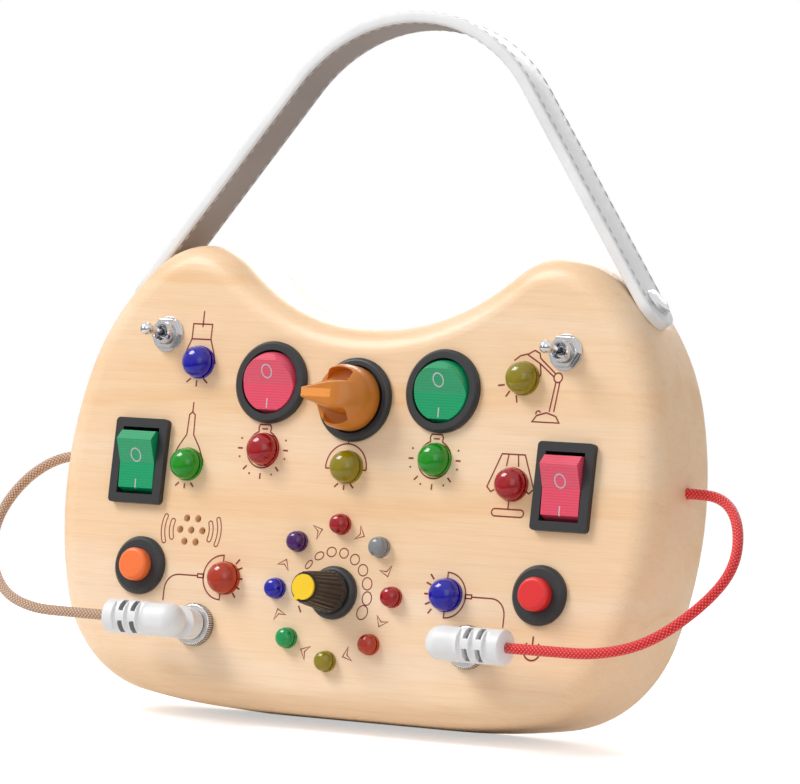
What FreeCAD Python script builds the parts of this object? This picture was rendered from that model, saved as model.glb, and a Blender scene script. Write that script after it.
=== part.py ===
"""Wooden busy board for a small child: a hollow wooden body with switches, lamps and a strap.

The frame has its origin in the middle of the flat foot, +X to the right seen from the
front, -Y out of the front face and +Z up. Millimetres throughout. A height over the face,
called h here, is measured from the front face towards the person who plays.
"""
import FreeCAD
import Part
import Sketcher
import math
import os
import re

V = FreeCAD.Vector
DOC = FreeCAD.newDocument("busy_board")
SHEET = DOC.addObject("Spreadsheet::Sheet", "sizes")

# Driving dimensions
SIZES = {
    # Wooden body: outline of tangent arcs, symmetric about the YZ plane
    "half_width": 97.6,
    "body_height": 129.4,
    "body_depth": 30.0,
    "foot_half": 28.0,
    "bottom_radius": 220.0,
    "corner_radius": 36.5,
    "side_radius": 115.0,
    "widest_level": 61.4,
    "shoulder_radius": 65.0,
    "horn_radius": 22.0,
    "horn_from_side": 39.1,
    "dip_level": 107.6,
    "front_round": 8.0,
    "back_round": 4.0,
    "front_wall": 6.0,
    "side_wall": 12.5,
    "cord_hole_reach": 18.5,
    "recess_inset": 9.5,
    # Running, sliding and seating clearances
    "seat_gap": 0.15,
    "running_gap": 0.05,
    "moving_gap": 0.3,
    # Back panel, battery cover, battery box and cells
    "panel_thick": 3.0,
    "cover_thick": 1.6,
    "cover_width": 70.0,
    "cover_height": 39.0,
    "cover_corner": 4.0,
    "battery_level": 59.4,
    "box_wall": 1.2,
    "cell_radius": 5.25,
    "cell_length": 44.5,
    "cell_pitch": 10.6,
    "cell_end_space": 2.4,
    "contact_thick": 0.4,
    "cover_screw_place": 30.5,
    "boss_radius": 2.9,
    "panel_boss_radius": 4.0,
    "panel_screw_high_x": 58.0,
    "panel_screw_high_z": 114.4,
    "panel_screw_low_x": 62.0,
    "panel_screw_low_z": 16.4,
    "screw_radius": 1.25,
    "screw_head_radius": 2.9,
    "screw_head": 1.5,
    "screw_length": 10.0,
    "short_screw_length": 6.0,
    # Toggle switches
    "toggle_from_side": 32.9,
    "toggle_z": 102.8,
    "toggle_width": 7.8,
    "toggle_tall": 12.4,
    "toggle_deep": 9.0,
    "bushing_radius": 3.0,
    "bushing_height": 4.2,
    "toggle_washer_radius": 5.0,
    "washer_thick": 0.6,
    "toggle_nut_flat": 4.0,
    "nut_thick": 1.7,
    "lever_tip": 12.9,
    "lever_ball": 1.8,
    "lever_root_radius": 0.95,
    "toggle_pivot": 2.6,
    # Round rocker switches
    "round_rocker_x": 27.9,
    "round_rocker_z": 90.6,
    "round_bezel": 11.5,
    "round_opening": 9.0,
    "round_case": 10.0,
    "bezel_height": 2.0,
    "rocker_deep": 14.0,
    "rocker_floor": 1.2,
    "rocker_pivot": 0.5,
    "rocker_pin": 1.0,
    "rocker_tip": 6.9,
    "rocker_peak": 3.6,
    "rocker_shoulder": 8.9,
    "rocker_valley": 2.3,
    "rocker_half_swing": 14.0,
    # Square rocker switches
    "square_rocker_from_side": 28.7,
    "square_rocker_z": 66.5,
    "square_bezel_wide": 17.4,
    "square_bezel_tall": 24.0,
    "square_opening_wide": 12.2,
    "square_opening_tall": 18.8,
    "square_corner": 1.2,
    # Rotary selector
    "selector_z": 87.0,
    "selector_bezel": 11.65,
    "selector_case": 9.5,
    "selector_deep": 13.0,
    "selector_knob": 9.0,
    "selector_height": 14.6,
    "selector_ridge": 3.0,
    "selector_scoop": 12.0,
    "selector_base": 3.6,
    "selector_shaft": 2.0,
    # Push buttons
    "button_from_side": 32.7,
    "button_z": 37.2,
    "button_flange": 8.15,
    "button_flange_high": 2.2,
    "button_case": 5.9,
    "button_deep": 14.0,
    "button_cap": 4.6,
    "button_top": 5.2,
    "button_travel": 2.5,
    "button_nut_radius": 7.6,
    "button_nut_thick": 2.0,
    # Dial
    "dial_z": 33.65,
    "dial_ring": 7.35,
    "dial_ring_high": 2.4,
    "dial_bush": 3.4,
    "dial_case": 7.6,
    "dial_case_deep": 7.0,
    "dial_shaft": 2.0,
    "dial_knob_root": 5.8,
    "dial_knob_tip": 4.3,
    "dial_top": 16.4,
    "dial_cap": 3.5,
    "dial_cap_thick": 0.8,
    "dial_start": 32.0,
    "pointer_half": 0.55,
    # Lamps
    "lamp_radius": 4.65,
    "lamp_high": 5.5,
    "lamp_stem": 2.4,
    "lamp_top_x": 52.7,
    "lamp_top_z": 95.2,
    "lamp_inner_z": 71.8,
    "lamp_centre_z": 68.3,
    "lamp_outer_x": 52.8,
    "lamp_outer_z": 66.4,
    "lamp_low_x": 36.06,
    "lamp_low_z": 35.4,
    "ring_lamp_radius": 2.9,
    "ring_lamp_high": 3.9,
    "ring_lamp_stem": 1.4,
    "lamp_ring": 18.87,
    "lamp_flange": 1.1,
    "lamp_groove": 0.5,
    "led_radius": 1.5,
    "led_length": 4.0,
    # Sockets, plugs and cords
    "socket_x": 44.4,
    "socket_z": 21.8,
    "socket_nut": 6.0,
    "socket_nut_high": 2.1,
    "socket_case": 4.0,
    "socket_deep": 14.0,
    "socket_bore": 1.8,
    "plug_high": 13.4,
    "plug_radius": 4.8,
    "plug_foot": 4.2,
    "plug_arm": 19.7,
    "plug_pin_reach": 12.0,
    "cord_radius": 1.45,
    "cord_hole_y": 1.0,
    "cord_hole_z": 68.4,
    # Circuit board and speaker
    "board_x": 44.0,
    "board_z": 50.4,
    "board_wide": 24.0,
    "board_tall": 16.0,
    "board_thick": 1.6,
    "chip_wide": 9.0,
    "chip_tall": 6.0,
    "chip_thick": 1.5,
    "speaker_x": 49.5,
    "speaker_z": 48.1,
    "speaker_radius": 9.0,
    "speaker_thick": 4.0,
    "speaker_magnet": 4.5,
    "sound_hole": 1.05,
    "sound_hole_ring": 3.75,
    # Strap, its hinge line and its screws
    "strap_thick": 3.2,
    "strap_width": 13.0,
    "strap_lean": 41.0,
    "strap_tail": 6.8,
    "strap_arch_radius": 45.1,
    "strap_arch_level": 149.3,
    "strap_hinge_level": 132.4,
    "strap_hinge_radius": 7.5,
    "strap_screw_head": 4.0,
    "strap_screw_head_high": 1.9,
    "strap_screw_radius": 1.9,
    "insert_radius": 2.6,
    "insert_length": 8.0,
}

LAMPS = {
    "lamps_blue": [(-1, "lamp_top_x", "lamp_top_z"), (1, "lamp_low_x", "lamp_low_z")],
    "lamps_yellow": [(1, "lamp_top_x", "lamp_top_z"), (0, "lamp_top_x", "lamp_centre_z")],
    "lamps_red": [(-1, "round_rocker_x", "lamp_inner_z"), (1, "lamp_outer_x", "lamp_outer_z")],
    "lamps_green": [(1, "round_rocker_x", "lamp_inner_z"), (-1, "lamp_outer_x", "lamp_outer_z")],
    "lamp_orange": [(-1, "lamp_low_x", "lamp_low_z")],
}
RING_LAMPS = {
    "ring_lamps_red": [0, 2],
    "ring_lamp_clear": [1],
    "ring_lamp_amber": [3],
    "ring_lamp_olive": [4],
    "ring_lamp_green": [5],
    "ring_lamp_blue": [6],
    "ring_lamp_purple": [7],
}
RING_COUNT = 8
SOUND_HOLES_ROUND = 6
CELLS = 3
SIDES = {"left": -1, "right": 1}

# Routes of the two cords, chosen by hand along the photographed loops
CORD_ROUTES = {
    "cord_right": [(86.5, 1.0, 68.4), (97.5, 1.0, 68.5), (108.5, 0.9, 68.0), (116.5, -3.9, 60.5),
                   (120.5, -11.3, 48.4), (116.0, -18.0, 37.6), (105.0, -25.4, 26.0), (91.5, -28.3, 21.9),
                   (77.8, -28.4, 21.8), (64.15, -28.4, 21.8)],
    "cord_left": [(-86.5, 1.0, 68.4), (-97.5, 1.0, 68.5), (-108.2, 0.8, 67.8), (-116.3, -3.7, 60.8),
                  (-119.4, -10.9, 49.2), (-115.4, -18.2, 37.2), (-104.6, -25.2, 26.3), (-91.4, -28.3, 22.0),
                  (-77.7, -28.4, 21.8), (-64.15, -28.4, 21.8)],
}


def fill_sheet():
    """Write every driving dimension into the spreadsheet, with its name as the alias."""
    for row, (name, number) in enumerate(SIZES.items(), start=1):
        SHEET.set(f"A{row}", name)
        SHEET.set(f"B{row}", str(number))
        SHEET.setAlias(f"B{row}", name)
    DOC.recompute()


def size(name):
    """Read one driving dimension back from the spreadsheet."""
    return float(SHEET.get(name))


def bound(text):
    """Turn size names in a formula into references to the spreadsheet's cells."""
    return re.sub(r"[a-z][a-z_]+", lambda found: "sizes." + found.group()
                  if found.group() in SIZES else found.group(), str(text))


def bind(item, **formulas):
    """Bind properties of an object to formulas, for instance Radius="dial_shaft"."""
    for prop, formula in formulas.items():
        item.setExpression(prop.replace("__", "."), bound(formula))
    return item


def on_face(item, x, z, h="0"):
    """Stand an object on the front face at x and z, its own Z axis pointing outward."""
    item.Placement = FreeCAD.Placement(V(0, 0, 0), FreeCAD.Rotation(V(1, 0, 0), 90))
    return bind(item, Placement__Base__x=x, Placement__Base__z=z,
                Placement__Base__y=f"-body_depth / 2 - ({h})")


def along_x(item, x, y, z):
    """Lay an object's own Z axis along +X."""
    item.Placement = FreeCAD.Placement(V(0, 0, 0), FreeCAD.Rotation(V(0, 1, 0), 90))
    return bind(item, Placement__Base__x=x, Placement__Base__y=y, Placement__Base__z=z)


def cylinder(name, radius, length):
    """Make a cylinder whose radius and length are formulas."""
    return bind(DOC.addObject("Part::Cylinder", name), Radius=radius, Height=length)


def block(name, x, y, z, wide, deep, tall):
    """Make a box upright in the frame, given the centre of each side by formulas."""
    item = bind(DOC.addObject("Part::Box", name), Length=wide, Width=deep, Height=tall)
    return bind(item, Placement__Base__x=f"({x}) - ({wide}) / 2",
                Placement__Base__y=f"({y}) - ({deep}) / 2", Placement__Base__z=f"({z}) - ({tall}) / 2")


def fuse(name, *items):
    """Join objects that are one piece."""
    item = DOC.addObject("Part::MultiFuse", name)
    item.Shapes = list(items)
    return item


def cut(name, base, *tools):
    """Take one or more objects out of another."""
    item = DOC.addObject("Part::Cut", name)
    item.Base = base
    item.Tool = tools[0] if len(tools) == 1 else fuse(name + "_tools", *tools)
    return item


def group(name, *items):
    """Keep identical, separate solids together under one name."""
    item = DOC.addObject("Part::Compound", name)
    item.Links = list(items)
    return item


def drawn(name, points, plane):
    """Make a body with one closed sketch whose corners are bound to formulas."""
    body = DOC.addObject("PartDesign::Body", name)
    sketch = body.newObject("Sketcher::SketchObject", name + "_sketch")
    origin_plane = next(item for item in body.Origin.OriginFeatures if item.Role == plane)
    sketch.AttachmentSupport = [(origin_plane, "")]
    sketch.MapMode = "FlatFace"
    count = len(points)
    loose = [V(1 + index, 1 + index * index % 7, 0) for index in range(count)]
    for index in range(count):
        sketch.addGeometry(Part.LineSegment(loose[index], loose[(index + 1) % count]))
    for index in range(count):
        sketch.addConstraint(Sketcher.Constraint("Coincident", index, 2, (index + 1) % count, 1))
    for index, formulas in enumerate(points):
        for kind, formula, start in zip(("DistanceX", "DistanceY"), formulas, loose[index]):
            number = sketch.addConstraint(Sketcher.Constraint(kind, -1, 1, index, 1, start))
            sketch.setExpression(f"Constraints[{number}]", bound(formula))
    return body, sketch


def turned(name, points):
    """Turn a profile of (radius, height) corners about the body's own Z axis."""
    body, sketch = drawn(name, points, "XZ_Plane")
    turn = body.newObject("PartDesign::Revolution", name + "_turn")
    turn.Profile = sketch
    turn.ReferenceAxis = (sketch, ["V_Axis"])
    turn.Angle = 360
    return body


def padded(name, points, plane, length, symmetric=False):
    """Pad a profile by a formula's length, one way or to both sides of its plane."""
    body, sketch = drawn(name, points, plane)
    pad = body.newObject("PartDesign::Pad", name + "_pad")
    pad.Profile = sketch
    if symmetric:
        pad.SideType = "Symmetric"
    bind(pad, Length=length)
    return body


def rectangle(wide, tall):
    """Give the corners of a centred rectangle as formulas."""
    return [(f"-({wide}) / 2", f"-({tall}) / 2"), (f"({wide}) / 2", f"-({tall}) / 2"),
            (f"({wide}) / 2", f"({tall}) / 2"), (f"-({wide}) / 2", f"({tall}) / 2")]


def tip_edges(shape, wanted):
    """Name the edges of a shape that a test on the edge picks out."""
    return [f"Edge{number}" for number, edge in enumerate(shape.Edges, start=1) if wanted(edge)]


def rounded(body, formula, wanted):
    """Add a fillet of a formula's radius to the edges of a body that a test picks out."""
    DOC.recompute()
    last = body.Tip
    fillet = body.newObject("PartDesign::Fillet", body.Name + "_round")
    fillet.Base = (last, tip_edges(last.Shape, wanted))
    bind(fillet, Radius=formula)
    return body


def is_level(edge, level):
    """Tell whether an edge lies wholly at one level of its body's own Z."""
    box = edge.BoundBox
    return abs(box.ZMin - level) < 1e-6 and abs(box.ZMax - level) < 1e-6


def is_corner(edge):
    """Tell whether an edge is straight along its body's own Z."""
    box = edge.BoundBox
    return max(box.XLength, box.YLength) < 1e-6 < box.ZLength


def feature(name, shape):
    """Store a shape made with Part's own functions as an object."""
    item = DOC.addObject("Part::Feature", name)
    item.Shape = shape
    return item


def meet(first, first_radius, second, second_radius, right):
    """Find where two circles in the face plane cross, on the right or left of their line."""
    span = second - first
    gap = span.Length
    along = (gap ** 2 + first_radius ** 2 - second_radius ** 2) / (2 * gap)
    across = math.sqrt(first_radius ** 2 - along ** 2)
    unit = span / gap
    side = V(unit.z, 0, -unit.x) * (across if right else -across)
    return first + unit * along + side


def outline_arcs():
    """Work out the right half's arcs as (centre, radius, outward sign), from foot to dip."""
    bottom, corner, side = size("bottom_radius"), size("corner_radius"), size("side_radius")
    shoulder, horn = size("shoulder_radius"), size("horn_radius")
    bottom_centre = V(size("foot_half"), 0, bottom)
    side_centre = V(size("half_width") - side, 0, size("widest_level"))
    horn_centre = V(size("half_width") - size("horn_from_side"), 0, size("body_height") - horn)
    corner_centre = meet(bottom_centre, bottom - corner, side_centre, side - corner, False)
    shoulder_centre = meet(side_centre, side - shoulder, horn_centre, shoulder - horn, True)
    drop = size("dip_level") - horn_centre.z
    dip = (horn ** 2 - drop ** 2 - horn_centre.x ** 2) / (2 * (drop - horn))
    dip_centre = V(0, 0, size("dip_level") + dip)
    return [(bottom_centre, bottom, 1), (corner_centre, corner, 1), (side_centre, side, 1),
            (shoulder_centre, shoulder, 1), (horn_centre, horn, 1), (dip_centre, dip, -1)]


def outline_face(inset, y):
    """Make the outline's face, drawn in by an inset, in the plane at y."""
    arcs = outline_arcs()
    joins = [V(size("foot_half"), 0, inset)]
    for (centre, radius, sign), (after, after_radius, after_sign) in zip(arcs, arcs[1:]):
        outer = sign == after_sign and radius > after_radius
        way = after - centre if outer or sign != after_sign else centre - after
        joins.append(centre + way / way.Length * (radius - sign * inset))
    joins.append(V(0, 0, size("dip_level") - inset))
    edges = [Part.LineSegment(V(-joins[0].x, y, inset), V(joins[0].x, y, inset)).toShape()]
    for mirror in (1, -1):
        for (centre, radius, sign), start, end in zip(arcs, joins, joins[1:]):
            way = (start + end) / 2 - centre
            middle = centre + way / way.Length * (radius - sign * inset)
            ends = [V(mirror * spot.x, y, spot.z) for spot in (start, middle, end)]
            edges.append(Part.Arc(*ends).toShape())
    return Part.Face(Part.Wire(Part.__sortEdges__(edges)))


def slab(inset, y_front, y_back):
    """Make a solid of the outline, drawn in by an inset, between two planes of y."""
    return outline_face(inset, y_front).extrude(V(0, y_back - y_front, 0))


def round_rims(shape, y, radius):
    """Round the rim of a slab that lies in the plane at y."""
    rim = [edge for edge in shape.Edges
           if abs(edge.BoundBox.YMin - y) < 1e-6 and abs(edge.BoundBox.YMax - y) < 1e-6]
    return shape.makeFillet(radius, rim)


def strap_frame():
    """Give the strap screw's spot on the wood, the outward normal and the upward tangent."""
    centre, radius, _ = outline_arcs()[3]
    lean = math.radians(size("strap_lean"))
    normal = V(math.cos(lean), 0, math.sin(lean))
    return centre + normal * radius, normal, V(-normal.z, 0, normal.x)


def from_side(name):
    """Give the distance from the middle of a control that is placed from the board's side."""
    return size("half_width") - size(name + "_from_side")


def face_y():
    """Give the y of the front face."""
    return -size("body_depth") / 2


def panel_seat():
    """Give the y at which the back panel rests on the wood's ledge."""
    return size("body_depth") / 2 - size("panel_thick")


def panel_screw_spots():
    """Give the four places of the back panel's screws."""
    high = (size("panel_screw_high_x"), size("panel_screw_high_z"))
    low = (size("panel_screw_low_x"), size("panel_screw_low_z"))
    return [(sign * x, z) for x, z in (high, low) for sign in (-1, 1)]


def rod(spot, way, radius, length):
    """Make a plain round rod, used for holes and bosses of the wooden body."""
    return Part.makeCylinder(radius, length, spot, way)


def sound_spots():
    """Give the places of the speaker's holes: one in the middle, the rest on a ring."""
    x, z = -size("speaker_x"), size("speaker_z")
    ring = size("sound_hole_ring")
    turns = [2 * math.pi * index / SOUND_HOLES_ROUND for index in range(SOUND_HOLES_ROUND)]
    return [(x, z)] + [(x + ring * math.cos(turn), z + ring * math.sin(turn)) for turn in turns]


def ring_spot(index):
    """Give the place of one lamp of the ring, counted clockwise from the top."""
    turn = 2 * math.pi * index / RING_COUNT
    return (size("lamp_ring") * math.sin(turn), size("dial_z") + size("lamp_ring") * math.cos(turn))


def face_holes():
    """List the round holes through the front wall as (x, z, radius, depth)."""
    gap = size("seat_gap")
    wall = size("front_wall")
    holes = [(0, size("selector_z"), size("selector_case") + gap, size("selector_deep") + gap),
             (0, size("dial_z"), size("dial_bush") + gap, wall)]
    for sign in SIDES.values():
        holes += [(sign * from_side("toggle"), size("toggle_z"), size("bushing_radius") + gap, wall),
                  (sign * size("round_rocker_x"), size("round_rocker_z"), size("round_case") + gap,
                   size("rocker_deep") + gap),
                  (sign * from_side("button"), size("button_z"), size("button_case") + gap, wall),
                  (sign * size("socket_x"), size("socket_z"), size("socket_case") + gap, wall)]
    holes += [(sign * size(x), size(z), size("lamp_stem") + gap, wall)
              for spots in LAMPS.values() for sign, x, z in spots]
    reach = wall + size("led_length") + gap
    holes += [ring_spot(index) + (size("ring_lamp_stem") + gap, reach) for index in range(RING_COUNT)]
    holes += [(x, z, size("sound_hole"), wall) for x, z in sound_spots()]
    return holes


def make_wooden_body():
    """Build the hollow wooden body with its ledge, bosses and every hole."""
    front, back = face_y(), size("body_depth") / 2
    inner = front + size("front_wall")
    seat = panel_seat()
    solid = round_rims(slab(0, front, back), front, size("front_round"))
    solid = round_rims(solid, back, size("back_round"))
    hollow = slab(size("side_wall"), inner, back)
    bosses = [rod(V(x, inner - 1, z), V(0, 1, 0), size("panel_boss_radius"), seat - inner + 1)
              for x, z in panel_screw_spots()]
    hollow = hollow.cut(bosses)
    tools = [hollow, slab(size("recess_inset"), seat, back + 1)]
    reach = size("screw_length") - size("panel_thick") + 1
    tools += [rod(V(x, seat - reach, z), V(0, 1, 0), size("screw_radius"), reach + 1)
              for x, z in panel_screw_spots()]
    tools += [rod(V(x, front - 1, z), V(0, 1, 0), radius, depth + 1.01)
              for x, z, radius, depth in face_holes()]
    gap = size("seat_gap")
    for sign in SIDES.values():
        wide = square_case("wide") + 2 * gap
        tall = square_case("tall") + 2 * gap
        corner = V(sign * from_side("square_rocker") - wide / 2, front - 1, size("square_rocker_z") - tall / 2)
        tools.append(Part.makeBox(wide, size("front_wall") + 2, tall, corner))
        start = V(sign * (size("half_width") + 2), size("cord_hole_y"), size("cord_hole_z"))
        tools.append(rod(start, V(-sign, 0, 0), size("cord_radius") + gap, size("cord_hole_reach")))
        spot, normal, _ = strap_frame()
        spot, normal = V(sign * spot.x, 0, spot.z), V(sign * normal.x, 0, normal.z)
        tools.append(rod(spot + normal, -normal, size("insert_radius"), size("insert_length") + 1))
    return feature("wooden_body", solid.cut(tools))


def square_case(way):
    """Give the size of the square rocker's case behind its bezel."""
    return size("square_opening_" + way) + 2 * size("rocker_floor")


def make_back_panel():
    """Build the panel that closes the body, with a recess for the battery cover."""
    gap = size("seat_gap")
    seat, back = panel_seat(), size("body_depth") / 2
    panel = slab(size("recess_inset") + gap, seat, back)
    level = size("battery_level")
    recess_wide, recess_tall = size("cover_width") + 2 * gap, size("cover_height") + 2 * gap
    recess = Part.makeBox(recess_wide, size("cover_thick") + 1, recess_tall,
                          V(-recess_wide / 2, back - size("cover_thick"), level - recess_tall / 2))
    corners = [edge for edge in recess.Edges if edge.BoundBox.YLength > 1]
    recess = recess.makeFillet(size("cover_corner") + gap, corners)
    wide, tall = box_size("wide") + 2 * gap, box_size("tall") + 2 * gap
    window = Part.makeBox(wide, size("panel_thick") + 2, tall, V(-wide / 2, seat - 1, level - tall / 2))
    tools = [recess, window]
    hole = size("screw_radius") + gap
    spots = panel_screw_spots() + [(sign * size("cover_screw_place"), level) for sign in (-1, 1)]
    tools += [rod(V(x, seat - 1, z), V(0, 1, 0), hole, size("panel_thick") + 2) for x, z in spots]
    return feature("back_panel", panel.cut(tools))


def box_size(way):
    """Give the outer width, height or depth of the battery box."""
    wall = 2 * size("box_wall")
    inner = {"wide": size("cell_length") + 2 * size("cell_end_space"),
             "tall": CELLS * size("cell_pitch")}
    return inner[way] + wall


def make_battery_box():
    """Build the open box behind the cover, with the two bosses for the cover's screws."""
    gap, wall = size("seat_gap"), size("box_wall")
    back = size("body_depth") / 2 - size("cover_thick") - gap
    front = back - wall - 2 * size("cell_radius") - 2 * gap
    wide, tall, level = box_size("wide"), box_size("tall"), size("battery_level")
    shell = Part.makeBox(wide, back - front, tall, V(-wide / 2, front, level - tall / 2))
    room = Part.makeBox(wide - 2 * wall, back - front, tall - 2 * wall,
                        V(-wide / 2 + wall, front + wall, level - tall / 2 + wall))
    seat = panel_seat()
    deep = size("short_screw_length") + wall
    pieces = []
    for sign in SIDES.values():
        place = sign * size("cover_screw_place")
        pieces.append(rod(V(place, seat - deep, level), V(0, 1, 0), size("boss_radius"), deep))
        web = abs(place) - wide / 2
        corner = V(min(place, sign * wide / 2), seat - deep, level - wall)
        pieces.append(Part.makeBox(web, deep, 2 * wall, corner))
    shell = shell.fuse(pieces).cut(room)
    holes = [rod(V(sign * size("cover_screw_place"), seat - deep + wall, level), V(0, 1, 0),
                 size("screw_radius"), deep) for sign in (-1, 1)]
    return feature("battery_box", shell.cut(holes))


def cell_levels():
    """Give the z of each cell's axis."""
    return [size("battery_level") + (index - (CELLS - 1) / 2) * size("cell_pitch") for index in range(CELLS)]


def cell_y():
    """Give the y of the cells' axes, just clear of the battery box's floor."""
    back = size("body_depth") / 2 - size("cover_thick") - size("seat_gap")
    return back - size("cell_radius") - size("seat_gap")


def make_batteries():
    """Build the three cells, each with its raised end on alternate sides."""
    cells = []
    nub = 0.8
    for index, z in enumerate(cell_levels()):
        way = 1 if index % 2 == 0 else -1
        length, radius = size("cell_length"), size("cell_radius")
        can = Part.makeCylinder(radius, length - nub, V(-way * length / 2, cell_y(), z), V(way, 0, 0))
        start = V(way * (length / 2 - nub), cell_y(), z)
        cells.append(can.fuse(Part.makeCylinder(radius / 3, nub, start, V(way, 0, 0))))
    return feature("batteries", Part.makeCompound(cells))


def make_contacts():
    """Build the contact plates at both ends of the battery box, each with its button."""
    contacts = []
    inner = size("cell_length") / 2 + size("cell_end_space")
    thick, side = size("contact_thick"), 1.6 * size("cell_radius")
    for z in cell_levels():
        for sign in SIDES.values():
            plate = Part.makeBox(thick, side, side, V(0, cell_y() - side / 2, z - side / 2))
            plate.translate(V(min(sign * inner, sign * (inner - thick)), 0, 0))
            reach = size("cell_end_space") - thick - size("seat_gap")
            button = Part.makeCylinder(size("cell_radius") / 3, reach, V(sign * (inner - thick), cell_y(), z),
                                       V(-sign, 0, 0))
            contacts.append(plate.fuse(button))
    return feature("battery_contacts", Part.makeCompound(contacts))


def make_battery_cover():
    """Build the battery cover with rounded corners and two screw holes."""
    body = padded("battery_cover_plate", rectangle("cover_width", "cover_height"), "XZ_Plane", "cover_thick")
    rounded(body, "cover_corner", lambda edge: max(edge.BoundBox.XLength, edge.BoundBox.ZLength) < 1e-6)
    bind(body, Placement__Base__y="body_depth / 2", Placement__Base__z="battery_level")
    holes = [along_y(cylinder(f"cover_hole_{side}", "screw_radius + seat_gap", "panel_thick * 2"),
                     f"{sign} * cover_screw_place", "body_depth / 2 - panel_thick", "battery_level")
             for side, sign in SIDES.items()]
    return cut("battery_cover", body, *holes)


def along_y(item, x, y, z):
    """Lay an object's own Z axis along +Y."""
    item.Placement = FreeCAD.Placement(V(0, 0, 0), FreeCAD.Rotation(V(1, 0, 0), -90))
    return bind(item, Placement__Base__x=x, Placement__Base__y=y, Placement__Base__z=z)


def back_screw(name, x, z, length):
    """Build a screw with a low round head, driven into the board from behind."""
    profile = [("0", f"-({length})"), ("screw_radius", f"-({length})"), ("screw_radius", "0"),
               ("screw_head_radius", "0"), ("screw_head_radius", "screw_head * 0.4"),
               ("screw_head_radius * 0.6", "screw_head"), ("0", "screw_head")]
    return along_y(turned(name, profile), x, "body_depth / 2", z)


def make_back_screws():
    """Build the four screws of the back panel and the two of the battery cover."""
    panel = []
    for side, sign in SIDES.items():
        for level in ("high", "low"):
            panel.append(back_screw(f"panel_screw_{side}_{level}", f"{sign} * panel_screw_{level}_x",
                                    f"panel_screw_{level}_z", "screw_length"))
    cover = [back_screw(f"cover_screw_{side}", f"{sign} * cover_screw_place", "battery_level",
                        "short_screw_length") for side, sign in SIDES.items()]
    return [group("back_panel_screws", *panel), group("battery_cover_screws", *cover)]


def make_toggles():
    """Build both toggle switches: case with bushing, washer and nut, and the lever."""
    made, cases, nuts = [], [], []
    for side, sign in SIDES.items():
        x, z = f"{sign} * (half_width - toggle_from_side)", "toggle_z"
        case = on_face(padded(f"toggle_case_{side}", rectangle("toggle_width", "toggle_tall"), "XY_Plane",
                              "toggle_deep"), x, z, "-front_wall - toggle_deep")
        bushing = on_face(cylinder(f"toggle_bushing_{side}", "bushing_radius",
                                   "bushing_height + front_wall + 1"), x, z, "-front_wall - 1")
        mouth = [("0", "-1.6"), ("lever_root_radius + moving_gap", "-1.6"),
                 ("bushing_radius * 0.8", "bushing_height + 0.1 - toggle_pivot"),
                 ("0", "bushing_height + 0.1 - toggle_pivot")]
        bore = on_face(turned(f"toggle_mouth_{side}", mouth), x, z, "toggle_pivot")
        cases.append(cut(f"toggle_body_{side}", fuse(f"toggle_solid_{side}", case, bushing), bore))
        washer = on_face(cylinder(f"toggle_washer_{side}", "toggle_washer_radius", "washer_thick"), x, z)
        nut = bind(DOC.addObject("Part::Prism", f"toggle_hexagon_{side}"), Circumradius="toggle_nut_flat / 0.866",
                   Height="nut_thick")
        on_face(nut, x, z, "washer_thick")
        hole = on_face(cylinder(f"toggle_nut_hole_{side}", "bushing_radius + running_gap", "bushing_height"),
                       x, z, "-0.5")
        nuts.append(cut(f"toggle_nut_{side}", fuse(f"toggle_nut_solid_{side}", washer, nut), hole))
        stem = bind(DOC.addObject("Part::Cone", f"toggle_stem_{side}"), Radius1="lever_root_radius",
                    Radius2="lever_ball * 0.78", Height="lever_tip - toggle_pivot - lever_ball * 1.5")
        on_face(stem, x, z, "toggle_pivot")
        ball = bind(DOC.addObject("Part::Sphere", f"toggle_ball_{side}"), Radius="lever_ball")
        on_face(ball, x, z, "lever_tip - lever_ball")
        root = bind(DOC.addObject("Part::Sphere", f"toggle_root_{side}"), Radius="lever_root_radius * 1.2")
        on_face(root, x, z, "toggle_pivot")
        made.append(fuse(f"toggle_{side}_lever", stem, ball, root))
    return [group("toggle_bodies", *cases), group("toggle_nuts", *nuts)] + made


def rocker_profile():
    """Give the rocker's section in its middle position, about its pivot at (0, 0)."""
    peak, valley = "rocker_peak + rocker_pivot", "rocker_valley + rocker_pivot"
    return [("-rocker_shoulder", "0.9 + rocker_pivot"), ("-rocker_tip", peak), ("0", valley),
            ("rocker_tip", peak), ("rocker_shoulder", "0.9 + rocker_pivot"),
            ("rocker_shoulder * 0.9", "-3.2"), ("-rocker_shoulder * 0.9", "-3.2")]


def rocker_bar(name, x, z, half_width, opening):
    """Build a paddle's bar, tilted to rest with its lower end pressed, and its pin."""
    bar = padded(name + "_bar", rocker_profile(), "YZ_Plane", f"2 * ({half_width})", True)
    pin = cylinder(name + "_pin", "rocker_pin", f"2 * ({opening}) + rocker_floor")
    for item, turn in ((bar, None), (pin, "x")):
        item.Placement = FreeCAD.Placement(V(0, 0, 0), FreeCAD.Rotation(V(1, 0, 0), 90 + size("rocker_half_swing")))
        if turn:
            item.Placement = FreeCAD.Placement(V(0, 0, 0), FreeCAD.Rotation(V(0, 1, 0), 90))
        start = f"{x} - ({opening}) - rocker_floor / 2" if turn else x
        bind(item, Placement__Base__x=start, Placement__Base__z=z,
             Placement__Base__y="-body_depth / 2 + rocker_pivot")
    return bar, pin


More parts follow.
